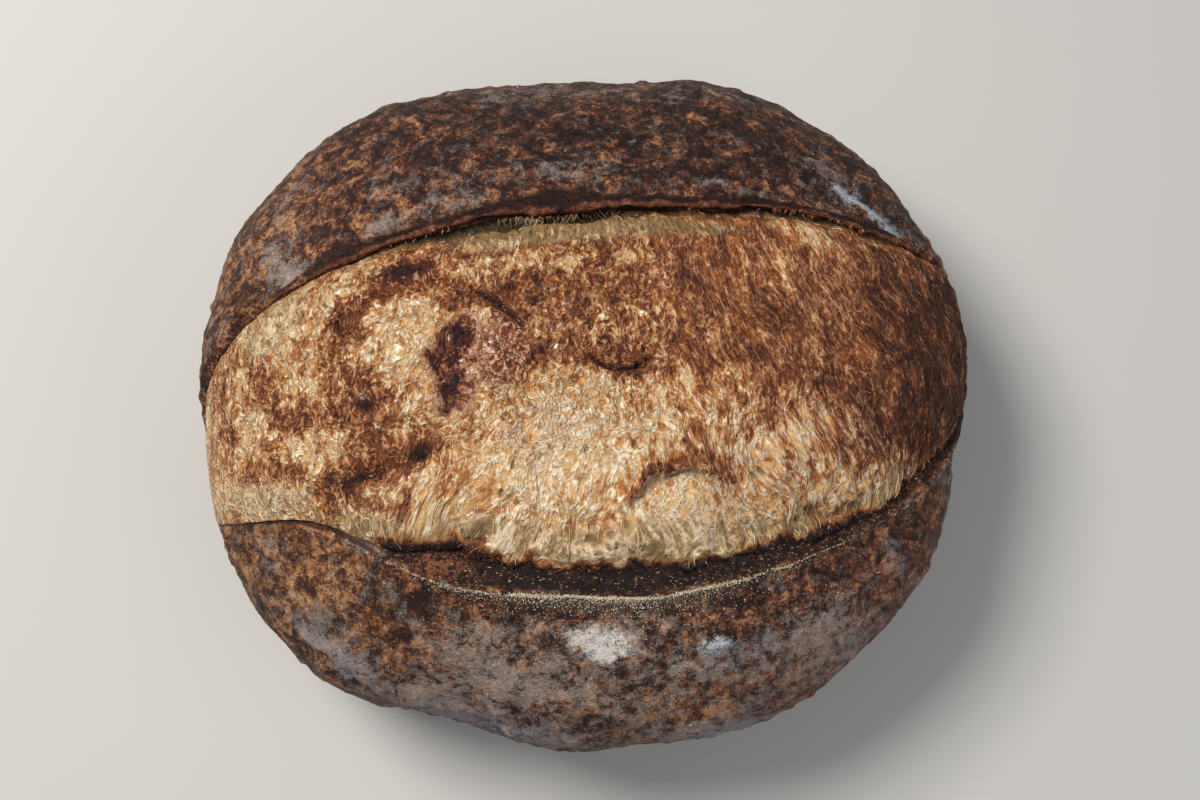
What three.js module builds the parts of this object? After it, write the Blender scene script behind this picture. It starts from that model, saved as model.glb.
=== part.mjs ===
// A round hearth loaf, baked as one piece: a domed crust with one long score that opened wide in the oven.
// The score runs along X. Its back edge lifts into an overhanging lip and its front edge into a low ledge.
// Millimetres, +Z up, -Y the front, origin at the middle of the box's bottom. The base is flat at z = 0.
import * as THREE from "three";

// Driving dimensions of the dome.
const halfLength = 115.3;
const halfWidth = 103.5;
const beltHeight = 44;
const domeAboveBelt = 57;
const bowlBelowBelt = 56;
const planSquareness = 2.5;
const domeSquareness = 2.2;
const bowlSquareness = 3.1;
const baseRounding = 7;

// Places where the loaf's outline sits in or out of the even oval: heading, spread and share of the radius.
const outlineSwells = [
  { heading: 30, spread: 20, share: -0.014 },
  { heading: 62, spread: 12, share: 0.02 },
  { heading: 200, spread: 20, share: -0.026 },
  { heading: 222, spread: 14, share: -0.026 },
  { heading: 245, spread: 17, share: -0.085 },
  { heading: 283, spread: 20, share: -0.042 },
  { heading: 318, spread: 20, share: -0.078 },
  { heading: 345, spread: 14, share: -0.039 },
];

// The open score, in degrees about the centre of the dome: reach along X, then the spread to each side of it.
const leftTip = -104;
const rightTip = 101;
const scoreOffset = -2.6;
const scoreTwist = 0.148;
const backSpread = 48.6;
const backSharpness = 1.054;
const backShift = -0.09;
const frontSpread = 53.5;
const frontSharpness = 1.7;
const frontShift = 0.32;

// Places where an edge of the score strays from its even arch: place along the score, spread and degrees.
const backStrays = [{ along: 53, spread: 16, turn: 1.8 }];
const frontStrays = [
  { along: -60, spread: 10, turn: 2.8 },
  { along: -35, spread: 30, turn: -14 },
  { along: 39, spread: 29, turn: 8.5 },
];

// The back lip, the hollow under it, the front ledge and the risen crumb between them.
const lipThickness = 4;
const lipOverhang = 1.5;
const lipFace = 4;
const lipLift = 2.2;
const hollowDepth = 11;
const hollowTuck = 5;
const ledgeWidth = 9;
const ledgeLift = 2.5;
const grooveDepth = 3.5;
const crumbCrown = 4;
const crumbBackFall = 5;
const liftFade = 13;

// Broad swellings of the risen crumb: place along and across the score in degrees, spread and height.
const crumbSwells = [
  { along: -44, across: -2, spread: 17, height: 3 },
  { along: 12, across: -6, spread: 24, height: 2.5 },
  { along: 22, across: -34, spread: 9, height: 2 },
  { along: -24, across: 8, spread: 8, height: -3 },
  { along: 55, across: 12, spread: 20, height: 1.5 },
];

// Grid of the faceted skin.
const rays = 120;
const crumbRings = 10;
const crustRings = 25;
const smallestStep = 0.3;

const radians = Math.PI / 180;

function smooth(low, high, value) {
  const t = Math.min(1, Math.max(0, (value - low) / (high - low)));
  return t * t * (3 - 2 * t);
}

// Signed angle between two headings, from -180 to 180.
function turnBetween(a, b) {
  return ((((a - b + 180) % 360) + 360) % 360) - 180;
}

// Distance from the axis to the belt of the loaf at a heading in degrees.
function beltRadius(heading) {
  const along = Math.abs(Math.cos(heading * radians)) / halfLength;
  const across = Math.abs(Math.sin(heading * radians)) / halfWidth;
  const oval = (along ** planSquareness + across ** planSquareness) ** (-1 / planSquareness);
  const bell = (swell) => {
    const distance = turnBetween(heading, swell.heading) / swell.spread;
    return swell.share * Math.exp(-distance * distance);
  };
  return oval * outlineSwells.reduce((sum, swell) => sum + bell(swell), 1);
}

// Distance from the centre of the dome to its skin in a direction of length 1, before the base is flattened.
function skinRadius(direction) {
  const belt = beltRadius(Math.atan2(direction.y, direction.x) / radians);
  const upper = smooth(-0.35, 0.35, direction.z);
  const reach = bowlBelowBelt + (domeAboveBelt - bowlBelowBelt) * upper;
  const power = bowlSquareness + (domeSquareness - bowlSquareness) * upper;
  const flat = Math.hypot(direction.x, direction.y) / belt;
  return (flat ** power + (Math.abs(direction.z) / reach) ** power) ** (-1 / power);
}

// Flattens everything under the base plane, with a rounded edge where the flank turns into the base.
function flattenBase(height) {
  if (height > baseRounding) return height;
  if (height < -baseRounding) return 0;
  return (height + baseRounding) ** 2 / (4 * baseRounding);
}

// Direction from an angle along the score and an angle across it.
function scoreDirection(along, across) {
  const a = along * radians;
  const b = across * radians;
  return new THREE.Vector3(Math.sin(a) * Math.cos(b), Math.sin(b), Math.cos(a) * Math.cos(b));
}

// Point of the skin in a direction, lifted by a height along it.
function skinPoint(direction, lift) {
  const point = direction.clone().multiplyScalar(skinRadius(direction) + lift);
  point.z = flattenBase(point.z + beltHeight);
  return point;
}

// How far the score spreads to one side: a rounded arch between the two tips.
function spreadAt(along, widest, sharpness, shift) {
  const place = (along - (leftTip + rightTip) / 2) / ((rightTip - leftTip) / 2);
  const shifted = place - shift * (1 - place * place);
  return widest * Math.max(0, Math.cos((shifted * Math.PI) / 2)) ** sharpness;
}

function scoreMiddle(along) {
  return scoreOffset + scoreTwist * along;
}

// Angle across the score at its front or back edge. The strays fade out towards the tips.
function scoreEdge(along, side) {
  const place = (along - (leftTip + rightTip) / 2) / ((rightTip - leftTip) / 2);
  const bell = (stray) => stray.turn * Math.exp(-(((along - stray.along) / stray.spread) ** 2));
  const strays = (side > 0 ? backStrays : frontStrays).reduce((sum, stray) => sum + bell(stray), 0);
  const spread = side > 0
    ? spreadAt(along, backSpread, backSharpness, backShift)
    : -spreadAt(along, frontSpread, frontSharpness, frontShift);
  return scoreMiddle(along) + spread + strays * (1 - Math.abs(place) ** 6);
}

// One section across the risen crumb, from the score's middle to its edge. Each step holds its share of the way,
// a shift outwards in mm and a lift off the dome in mm. Strength runs from 0 at the tips to 1 at mid length.
function crumbSection(side, strength) {
  const section = [];
  const edgeShift = (side > 0 ? hollowTuck / 2 : -ledgeWidth) * strength;
  const fall = side > 0 ? crumbBackFall + hollowDepth : ledgeLift;
  const fallPower = side > 0 ? 12 : 4;
  for (let ring = 0; ring <= crumbRings; ring += 1) {
    const share = Math.sin(((ring / crumbRings) * Math.PI) / 2);
    const crown = crumbCrown * (1 - share ** 2);
    section.push({ share, shift: edgeShift * share, lift: (crown - fall * share ** fallPower) * strength });
  }
  return section;
}

// The rim of the score: hollow and overhanging lip at the back, groove and ledge at the front.
function rimSection(side, strength) {
  if (side > 0) {
    return [
      { share: 1, shift: hollowTuck * strength, lift: -hollowDepth * strength },
      { share: 1, shift: (hollowTuck - lipFace) * strength, lift: -lipThickness * strength },
      { share: 1, shift: -lipOverhang * strength, lift: (lipLift - lipThickness) * strength },
      { share: 1, shift: (lipFace - lipOverhang) * strength, lift: lipLift * strength },
    ];
  }
  return [
    { share: 1, shift: (0.6 - ledgeWidth) * strength, lift: -(ledgeLift + grooveDepth / 2) * strength },
    { share: 1, shift: (3 - ledgeWidth) * strength, lift: -grooveDepth * strength },
    { share: 1, shift: -1.5 * strength, lift: (ledgeLift - 1) * strength },
    { share: 1, shift: 0, lift: ledgeLift * strength },
  ];
}

function crumbSwelling(along, across) {
  const bell = (swell) => {
    const distance = Math.hypot(along - swell.along, across - swell.across) / swell.spread;
    return swell.height * Math.exp(-distance * distance);
  };
  return crumbSwells.reduce((sum, swell) => sum + bell(swell), 0);
}

// Every ray starts on the score's middle line, crosses the crumb and the rim, and runs down the flank and in
// under the base.
function rayPoints(ray) {
  const turn = (ray / rays) * 2 * Math.PI;
  const side = Math.sin(turn) >= 0 ? 1 : -1;
  const along = (leftTip + rightTip) / 2 + (Math.cos(turn) * (rightTip - leftTip)) / 2;
  const middle = scoreMiddle(along);
  const edge = scoreEdge(along, side);
  const strength = Math.abs(Math.sin(turn)) ** 1.4;
  const points = [];
  const place = (step, swelling) => {
    const radius = skinRadius(scoreDirection(along, edge));
    const across = middle + (edge - middle) * step.share + (side * step.shift) / radius / radians;
    const swell = swelling * crumbSwelling(along, across) * (1 - step.share ** 4);
    return skinPoint(scoreDirection(along, across), step.lift + swell);
  };
  crumbSection(side, strength).forEach((step) => points.push(place(step, 1)));
  rimSection(side, strength).forEach((step) => points.push(place(step, 0)));

  const rimShift = side > 0 ? (lipFace - lipOverhang) * strength : 0;
  const rimLift = side > 0 ? lipLift : ledgeLift;
  const rimAcross = edge + (side * rimShift) / skinRadius(scoreDirection(along, edge)) / radians;
  const rim = scoreDirection(along, rimAcross);
  const rimHeading = Math.atan2(rim.y, rim.x) / radians;
  const rimTilt = Math.asin(rim.z) / radians;
  const beltHeading = turn / radians;
  for (let ring = 1; ring < crustRings; ring += 1) {
    const share = ring / crustRings;
    const tilt = rimTilt + (-90 - rimTilt) * share;
    const heading = rimHeading + turnBetween(beltHeading, rimHeading) * smooth(0, 0.7, share);
    const flat = Math.cos(tilt * radians);
    const direction = new THREE.Vector3(
      flat * Math.cos(heading * radians),
      flat * Math.sin(heading * radians),
      Math.sin(tilt * radians),
    );
    const distance = direction.angleTo(rim) * skinRadius(rim);
    points.push(skinPoint(direction, rimLift * strength * Math.exp(-((distance / liftFade) ** 2))));
  }
  return points;
}

// Joins the rays into one closed skin. Opposite rays share their start on the score's middle line, all rays
// share the middle of the base, and neighbouring points nearer than the smallest step are one point.
function loafGeometry() {
  const positions = [];
  const addPoint = (point) => {
    positions.push(point.x, point.y, point.z);
    return positions.length / 3 - 1;
  };
  const starts = [];
  const base = addPoint(new THREE.Vector3(0, 0, 0));
  const grid = [];
  for (let ray = 0; ray < rays; ray += 1) {
    const points = rayPoints(ray);
    const pair = Math.min(ray, rays - ray);
    if (starts[pair] === undefined) starts[pair] = addPoint(points[0]);
    const column = [starts[pair]];
    let last = points[0];
    points.slice(1).forEach((point) => {
      if (point.distanceTo(last) < smallestStep) {
        column.push(column[column.length - 1]);
        return;
      }
      column.push(addPoint(point));
      last = point;
    });
    column.push(base);
    grid.push(column);
  }
  const faces = [];
  const addFace = (a, b, c) => {
    if (a !== b && b !== c && c !== a) faces.push(a, b, c);
  };
  grid.forEach((column, ray) => {
    const next = grid[(ray + 1) % rays];
    for (let step = 0; step + 1 < column.length; step += 1) {
      addFace(column[step], column[step + 1], next[step + 1]);
      addFace(column[step], next[step + 1], next[step]);
    }
  });
  const geometry = new THREE.BufferGeometry();
  geometry.setAttribute("position", new THREE.Float32BufferAttribute(positions, 3));
  geometry.setIndex(faces);
  geometry.computeBoundingBox();
  const box = geometry.boundingBox;
  geometry.translate(-(box.min.x + box.max.x) / 2, -(box.min.y + box.max.y) / 2, 0);
  geometry.computeVertexNormals();
  return geometry;
}

const crustMaterial = new THREE.MeshStandardMaterial({ color: 0x8a5430, roughness: 0.75, metalness: 0 });
const loaf = new THREE.Mesh(loafGeometry(), crustMaterial);
loaf.name = "loaf";

const group = new THREE.Group();
group.add(loaf);

export default group;
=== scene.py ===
# Round hearth loaf with one wide opened score: a dark floured crust, a golden risen crumb, a lifted back
# lip, a charred front ledge, torn blisters, gluten threads, crumbs and flour grains.
import math

import bpy
import numpy as np
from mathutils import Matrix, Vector


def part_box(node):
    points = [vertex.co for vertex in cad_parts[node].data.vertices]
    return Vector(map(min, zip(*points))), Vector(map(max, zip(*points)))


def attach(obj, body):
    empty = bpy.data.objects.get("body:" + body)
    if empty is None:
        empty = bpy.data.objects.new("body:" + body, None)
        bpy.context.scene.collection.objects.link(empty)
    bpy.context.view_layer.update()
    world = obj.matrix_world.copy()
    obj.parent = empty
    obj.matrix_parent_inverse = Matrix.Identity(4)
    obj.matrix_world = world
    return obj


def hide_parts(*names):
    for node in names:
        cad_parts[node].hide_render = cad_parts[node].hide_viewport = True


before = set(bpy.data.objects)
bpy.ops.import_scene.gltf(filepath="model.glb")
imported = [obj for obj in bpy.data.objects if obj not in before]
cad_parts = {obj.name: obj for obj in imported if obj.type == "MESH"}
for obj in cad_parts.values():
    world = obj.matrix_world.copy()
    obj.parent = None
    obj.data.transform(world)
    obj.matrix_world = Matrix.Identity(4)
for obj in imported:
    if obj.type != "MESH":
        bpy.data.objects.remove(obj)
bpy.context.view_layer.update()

mm = 0.001
loafLow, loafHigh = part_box("loaf")
loafLength = (loafHigh.x - loafLow.x) / mm
loafWidth = (loafHigh.y - loafLow.y) / mm
loafHeight = (loafHigh.z - loafLow.z) / mm
print("loaf from the frame, mm:", round(loafLength, 1), round(loafWidth, 1), round(loafHeight, 1))

# shape of the whole loaf, in mm and degrees; the same oval dome as the solid in the frame
dome = {
    "halfLength": loafLength * 0.5005,
    "halfWidth": loafWidth * 0.5095,
    "beltHeight": loafHeight * 0.4105,
    "above": loafHeight * 0.532,
    "below": loafHeight * 0.5225,
    "planSquareness": 2.5,
    "upperSquareness": 2.2,
    "lowerSquareness": 3.1,
    "baseRounding": 7.0,
    # heading, spread and share of each place where the outline sits in or out of the even oval
    "swells": ((30, 20, -0.014), (62, 12, 0.02), (200, 20, -0.026), (222, 14, -0.026),
               (245, 17, -0.085), (283, 20, -0.042), (318, 20, -0.078), (345, 14, -0.039)),
}

score = {
    "leftTip": -104.0,
    "rightTip": 101.0,
    "offset": -2.6,
    "twist": 0.148,
    "backSpread": 48.6,
    "backSharpness": 1.054,
    "backShift": -0.09,
    "frontSpread": 53.5,
    "frontSharpness": 1.7,
    "frontShift": 0.32,
    # place along the score, spread and degrees of each stray of an edge from its even arch
    "backStrays": ((53, 16, 1.8),),
    "frontStrays": ((-60, 10, 2.8), (-35, 30, -14.0), (39, 29, 8.5)),
}


def smooth(low, high, value):  # eased step from 0 to 1
    t = np.clip((value - low) / (high - low), 0.0, 1.0)
    return t * t * (3.0 - 2.0 * t)


def mix(a, b, share):
    return a + (b - a) * share


def bell(distance, width):  # bell curve of a distance
    return np.exp(-(distance / width) ** 2)


def bellSum(value, bells):  # place, spread and size of each bell
    return sum(size * bell(value - at, wide) for at, wide, size in bells)


def turnBetween(a, b):  # signed angle between two headings in degrees
    return (a - b + 180.0) % 360.0 - 180.0


# superellipse in plan, with bells added to its radius at chosen headings
def beltRadius(heading):
    along = np.abs(np.cos(np.radians(heading))) / dome["halfLength"]
    across = np.abs(np.sin(np.radians(heading))) / dome["halfWidth"]
    power = dome["planSquareness"]
    share = 1.0 + sum(size * bell(turnBetween(heading, at), wide) for at, wide, size in dome["swells"])
    return (along**power + across**power) ** (-1.0 / power) * share


# superellipse in every upright section, squarer under the belt than over it
def skinRadius(direction):
    belt = beltRadius(np.degrees(np.arctan2(direction[..., 1], direction[..., 0])))
    upper = smooth(-0.35, 0.35, direction[..., 2])
    reach = mix(dome["below"], dome["above"], upper)
    power = mix(dome["lowerSquareness"], dome["upperSquareness"], upper)
    flat = np.hypot(direction[..., 0], direction[..., 1]) / belt
    return (flat**power + (np.abs(direction[..., 2]) / reach) ** power) ** (-1.0 / power)


def flattenBase(height):  # heights under the base plane become 0, over a rounded edge
    edge = dome["baseRounding"]
    return np.where(height > edge, height, np.where(height < -edge, 0.0, (height + edge) ** 2 / (4 * edge)))


def scoreDirection(along, across):
    a = np.radians(along)
    b = np.radians(across)
    return np.stack([np.sin(a) * np.cos(b), np.sin(b), np.cos(a) * np.cos(b)], -1)


beltPlaces = np.arange(0.0, 360.0, 0.5)
beltX = beltRadius(beltPlaces) * np.cos(np.radians(beltPlaces))
beltY = beltRadius(beltPlaces) * np.sin(np.radians(beltPlaces))
beltMiddle = [-(line.min() + line.max()) / 2 for line in (beltX, beltY)]
domeMiddle = np.array([*beltMiddle, dome["beltHeight"]])


# dome centre + direction x (skin radius + lift), with the base flattened
def skinPoint(direction, lift):
    point = direction * (skinRadius(direction) + lift)[..., None] + domeMiddle
    point[..., 2] = flattenBase(point[..., 2])
    return point


def scoreMiddle(along):
    return score["offset"] + score["twist"] * along


scoreCentre = (score["leftTip"] + score["rightTip"]) / 2
scoreHalf = (score["rightTip"] - score["leftTip"]) / 2


# angle across the score at one of its edges: the middle line, plus or minus an arch between the tips that is
# a power of a cosine, plus the strays, which fade out towards the tips
def scoreEdge(along, side):
    place = (along - scoreCentre) / scoreHalf
    shifted = np.clip(place - score[side + "Shift"] * (1 - place * place), -1, 1)
    arch = score[side + "Spread"] * np.clip(np.cos(shifted * math.pi / 2), 0, 1) ** score[side + "Sharpness"]
    stray = bellSum(along, score[side + "Strays"]) * (1 - np.abs(place) ** 6)
    return scoreMiddle(along) + (arch if side == "back" else -arch) + stray


# seeded noise on whole arrays

def latticeValue(cell, seed):  # repeatable random number from 0 to 1 for each lattice cell
    c = cell.astype(np.int64)
    h = c[..., 0] * 374761393 + c[..., 1] * 668265263 + c[..., 2] * 1274126177 + seed * 974634777
    h &= 0xFFFFFFFF
    h = ((h ^ (h >> 13)) * 1103515245) & 0xFFFFFFFF
    h = ((h ^ (h >> 16)) * 2246822519) & 0xFFFFFFFF
    return ((h ^ (h >> 15)) & 0xFFFFFF) / float(0xFFFFFF)


def softNoise(place, seed):  # random lattice values blended by eased weights, from -1 to 1
    cell = np.floor(place)
    f = place - cell
    w = f * f * f * (f * (f * 6 - 15) + 10)
    total = np.zeros(place.shape[:-1])
    for corner in np.ndindex(2, 2, 2):
        pick = np.array(corner)
        weight = np.prod(np.where(pick == 1, w, 1 - w), axis=-1)
        total += weight * latticeValue(cell + pick, seed)
    return total * 2 - 1


def layeredNoise(place, size, layers, seed):  # noises of halving size and height, about -1 to 1
    total = np.zeros(place.shape[:-1])
    height = 1.0
    whole = 0.0
    for layer in range(layers):
        total += height * softNoise(place / size * 2**layer, seed + layer * 17)
        whole += height
        height /= 2
    return total / whole * 1.6


def noiseSum(place, noises):  # height, size, layers and seed of each layered noise
    return sum(height * layeredNoise(place, *values) for height, *values in noises)


def cellNoise(place, seed):  # distance to the nearest of many scattered points, and its random number
    cell = np.floor(place)
    near = np.full(place.shape[:-1], 9.0)
    number = np.zeros(place.shape[:-1])
    for corner in np.ndindex(3, 3, 3):
        other = cell + np.array(corner) - 1
        point = other + np.stack([latticeValue(other, seed + k) for k in (1, 2, 3)], -1)
        distance = np.linalg.norm(place - point, axis=-1)
        closer = distance < near
        number = np.where(closer, latticeValue(other, seed + 4), number)
        near = np.where(closer, distance, near)
    return near, number


# places on the loaf, in mm seen from above: x along the score, y across it

def spot(place, x, y, wide, tall, lean=0.0):  # oval bell, turned by lean degrees
    c, q = math.cos(math.radians(lean)), math.sin(math.radians(lean))
    dx = place[..., 0] - x
    dy = place[..., 1] - y
    return np.exp(-((dx * c + dy * q) / wide) ** 2 - ((dy * c - dx * q) / tall) ** 2)


def spotSum(place, spots):
    return sum(spot(place, *values) for values in spots)


def clipped(marks):
    return {key: np.clip(values, 0, 1) for key, values in marks.items()}


def curvePath(points):  # rounds a line through a few points by cutting its corners twice
    points = np.array(points, float)
    for _ in range(2):
        quarter = points[:-1] * 0.75 + points[1:] * 0.25
        threeQuarter = points[:-1] * 0.25 + points[1:] * 0.75
        inner = np.stack([quarter, threeQuarter], 1).reshape(-1, 2)
        points = np.concatenate([points[:1], inner, points[-1:]])
    return points


# distance to a line through a few points, its side, with + on the left of its run, and the share run
def nearPath(place, path):
    best = np.full(place.shape[:-1], 1e9)
    side = np.zeros_like(best)
    run = np.zeros_like(best)
    for k in range(len(path) - 1):
        step = path[k + 1] - path[k]
        away = place[..., :2] - path[k]
        t = np.clip((away @ step) / (step @ step), 0, 1)
        gap = away - t[..., None] * step
        distance = np.hypot(gap[..., 0], gap[..., 1])
        closer = distance < best
        best = np.where(closer, distance, best)
        side = np.where(closer, np.sign(step[0] * gap[..., 1] - step[1] * gap[..., 0]), side)
        run = np.where(closer, (k + t) / (len(path) - 1), run)
    return best, side, run


def archOver(run):  # 0 at both ends of a line, 1 in its middle
    return np.sin(np.clip(run, 0, 1) * math.pi) ** 0.6


# meshes from grids

# triangles of an opened grid of vertex numbers, laid on the bake sheet as strips; across is where each
# column lies on its strip
def gridFaces(number, strips, across):
    rows = number.shape[0] - 1
    row, column = np.meshgrid(np.arange(rows), np.arange(number.shape[1] - 1), indexing="ij")
    strip = row * strips // rows
    corners = ((0, 0), (0, 1), (1, 1), (1, 0))
    vertex = np.stack([number[row + r, column + c] for r, c in corners], -1).reshape(-1, 4)
    u = np.stack([(row + r) * strips / rows - strip for r, c in corners], -1)
    v = np.stack([(strip + 0.01 + 0.98 * across[column + c]) / strips for r, c in corners], -1)
    uv = np.stack([0.003 + 0.994 * u, v], -1).reshape(-1, 4, 2)
    faces = np.concatenate([vertex[:, [0, 1, 2]], vertex[:, [0, 2, 3]]])
    places = np.concatenate([uv[:, [0, 1, 2]], uv[:, [0, 2, 3]]])
    a, b, c = faces.T
    whole = (a != b) & (b != c) & (c != a)
    return faces[whole], places[whole]


# points are in mm; marks are numbers and flow is a vector for each point, uv a place on the bake sheet for
# each corner
def addPiece(name, slot, points, faces, uv, material, marks, flow=None):
    used, faces = np.unique(faces, return_inverse=True)
    faces = faces.reshape(-1, 3)
    mesh = bpy.data.meshes.new(name)
    mesh.vertices.add(len(used))
    mesh.vertices.foreach_set("co", (points.reshape(-1, 3)[used] * mm).astype(np.float32).ravel())
    mesh.loops.add(faces.size)
    mesh.loops.foreach_set("vertex_index", faces.astype(np.int32).ravel())
    mesh.polygons.add(len(faces))
    mesh.polygons.foreach_set("loop_start", np.arange(0, faces.size, 3, dtype=np.int32))
    mesh.update(calc_edges=True)
    mesh.shade_smooth()
    for key, values in marks.items():
        layer = mesh.attributes.new(key, "FLOAT", "POINT")
        layer.data.foreach_set("value", values.reshape(-1)[used].astype(np.float32))
    if flow is not None:
        layer = mesh.attributes.new("flow", "FLOAT_VECTOR", "POINT")
        layer.data.foreach_set("vector", flow.reshape(-1, 3)[used].astype(np.float32).ravel())
    layer = mesh.uv_layers.new(name="OFBake")
    layer.data.foreach_set("uv", uv.astype(np.float32).ravel())
    mesh.materials.append(material)
    piece = bpy.data.objects.new(name, mesh)
    bpy.context.scene.collection.objects.link(piece)
    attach(piece, "root")
    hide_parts("loaf")
    print(name, "made,", len(used), "points,", len(faces), "triangles")


def gridNormals(points, wrapRows, wrapColumns):  # crossed slopes of a grid of points
    down = np.roll(points, -1, 0) - np.roll(points, 1, 0)
    side = np.roll(points, -1, 1) - np.roll(points, 1, 1)
    if not wrapRows:
        down[0] = points[1] - points[0]
        down[-1] = points[-1] - points[-2]
    if not wrapColumns:
        side[:, 0] = points[:, 1] - points[:, 0]
        side[:, -1] = points[:, -1] - points[:, -2]
    normal = np.cross(down, side)
    return normal / np.maximum(np.linalg.norm(normal, axis=-1, keepdims=True), 1e-9)


def splineRows(control, count):  # smooth B-spline through a list of control arrays, at count even places
    place = np.linspace(0, len(control) - 3 - 1e-6, count)
    first = place.astype(int)
    t = place - first
    inner = (3 * t**3 - 6 * t**2 + 4, -3 * t**3 + 3 * t**2 + 3 * t + 1)
    weights = np.stack([(1 - t) ** 3, *inner, t**3], 0) / 6
    picked = [np.stack([control[i + k] for i in first], -1) for k in range(4)]
    return sum(weights[k] * picked[k] for k in range(4))


def evenPlaces(line, count):  # even places along a finely drawn line, as fractions of its own points
    run = np.concatenate([[0.0], np.cumsum(np.linalg.norm(np.diff(line, axis=0), axis=1))])
    return np.interp(np.linspace(0, run[-1], count), run, np.linspace(0, 1, len(line)))


# crust: rim of the opening, flank and base

crust = {
    "rays": 700,
    "rimRows": 40,
    "hiddenRows": 10,  # rows of the rim that the crumb covers
    "flankRows": 84,
    "baseRows": 8,
    "lipThickness": 3.6,
    "lipOverhang": 0.3,
    "lipFace": 2.9,
    # the lip's full breadth is round one place along the score, with a share of it left elsewhere
    "lipBroadAt": -9.0,
    "lipBroadReach": 12.0,
    "lipNarrow": 0.36,
    "lipLift": 2.8,
    "lipTuck": 5.0,
    "ledgeWidth": 6.4,
    "ledgeLift": 1.5,
    "ledgeDrop": 2.6,
    "hollowDepth": 16.0,
    "baseTilt": -37.0,
    "liftFade": 14.0,
    # relief: spacing and height of blisters and small bubbles, height of the wrinkles behind the lip, and
    # height, size, layers and seed of each noise
    "blisters": (6.5, 0.75),
    "bubbles": (2.7, 0.26),
    "wrinkles": 0.45,
    "noises": ((1.2, 34.0, 2, 71), (0.6, 10.0, 3, 72), (0.15, 1.9, 2, 75)),
    # how much each kind of place adds to the dust of flour, over a thin even one
    "evenDust": 0.12,
    "dust": {"flour": 0.45, "hazeAndPaintedSheen": 0.5, "dark": -0.18},
}


def lipStrength(along):  # how much the back lip stands out, from its tips to mid length
    return smooth(-88, -22, along) * (1 - smooth(45, 92, along))


def lipBreadth(along):
    return mix(crust["lipNarrow"], 1.0, bell(along - crust["lipBroadAt"], crust["lipBroadReach"]))


def ledgeStrength(along):  # the same for the charred front ledge, which fades out early on the left
    rest = smooth(-55, -38, along) * (1 - 0.35 * smooth(35, 75, along)) * smooth(101, 84, along)
    return 0.08 + 0.92 * rest


# angle of one edge, half width of the opening in mm, and a share for how deep it may go
def openingReach(along, side):
    edge = scoreEdge(along, side)
    half = np.radians(np.abs(edge - scoreMiddle(along))) * skinRadius(scoreDirection(along, edge))
    return edge, half, smooth(0.0, 26.0, half)


def alongAt(turn):
    return scoreCentre + np.cos(turn) * scoreHalf


# turns round the opening, even along both of its edges, each back ray opposite a front one
def rayPlaces():
    drawn = np.linspace(0, math.pi, 3001)
    along = alongAt(drawn)
    edges = [skinPoint(scoreDirection(along, scoreEdge(along, side)), 0 * along)
             for side in ("back", "front")]
    half = math.pi * evenPlaces(np.concatenate(edges, 1), crust["rays"] // 2 + 1)
    return np.concatenate([half, 2 * math.pi - half[-2:0:-1]])


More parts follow.
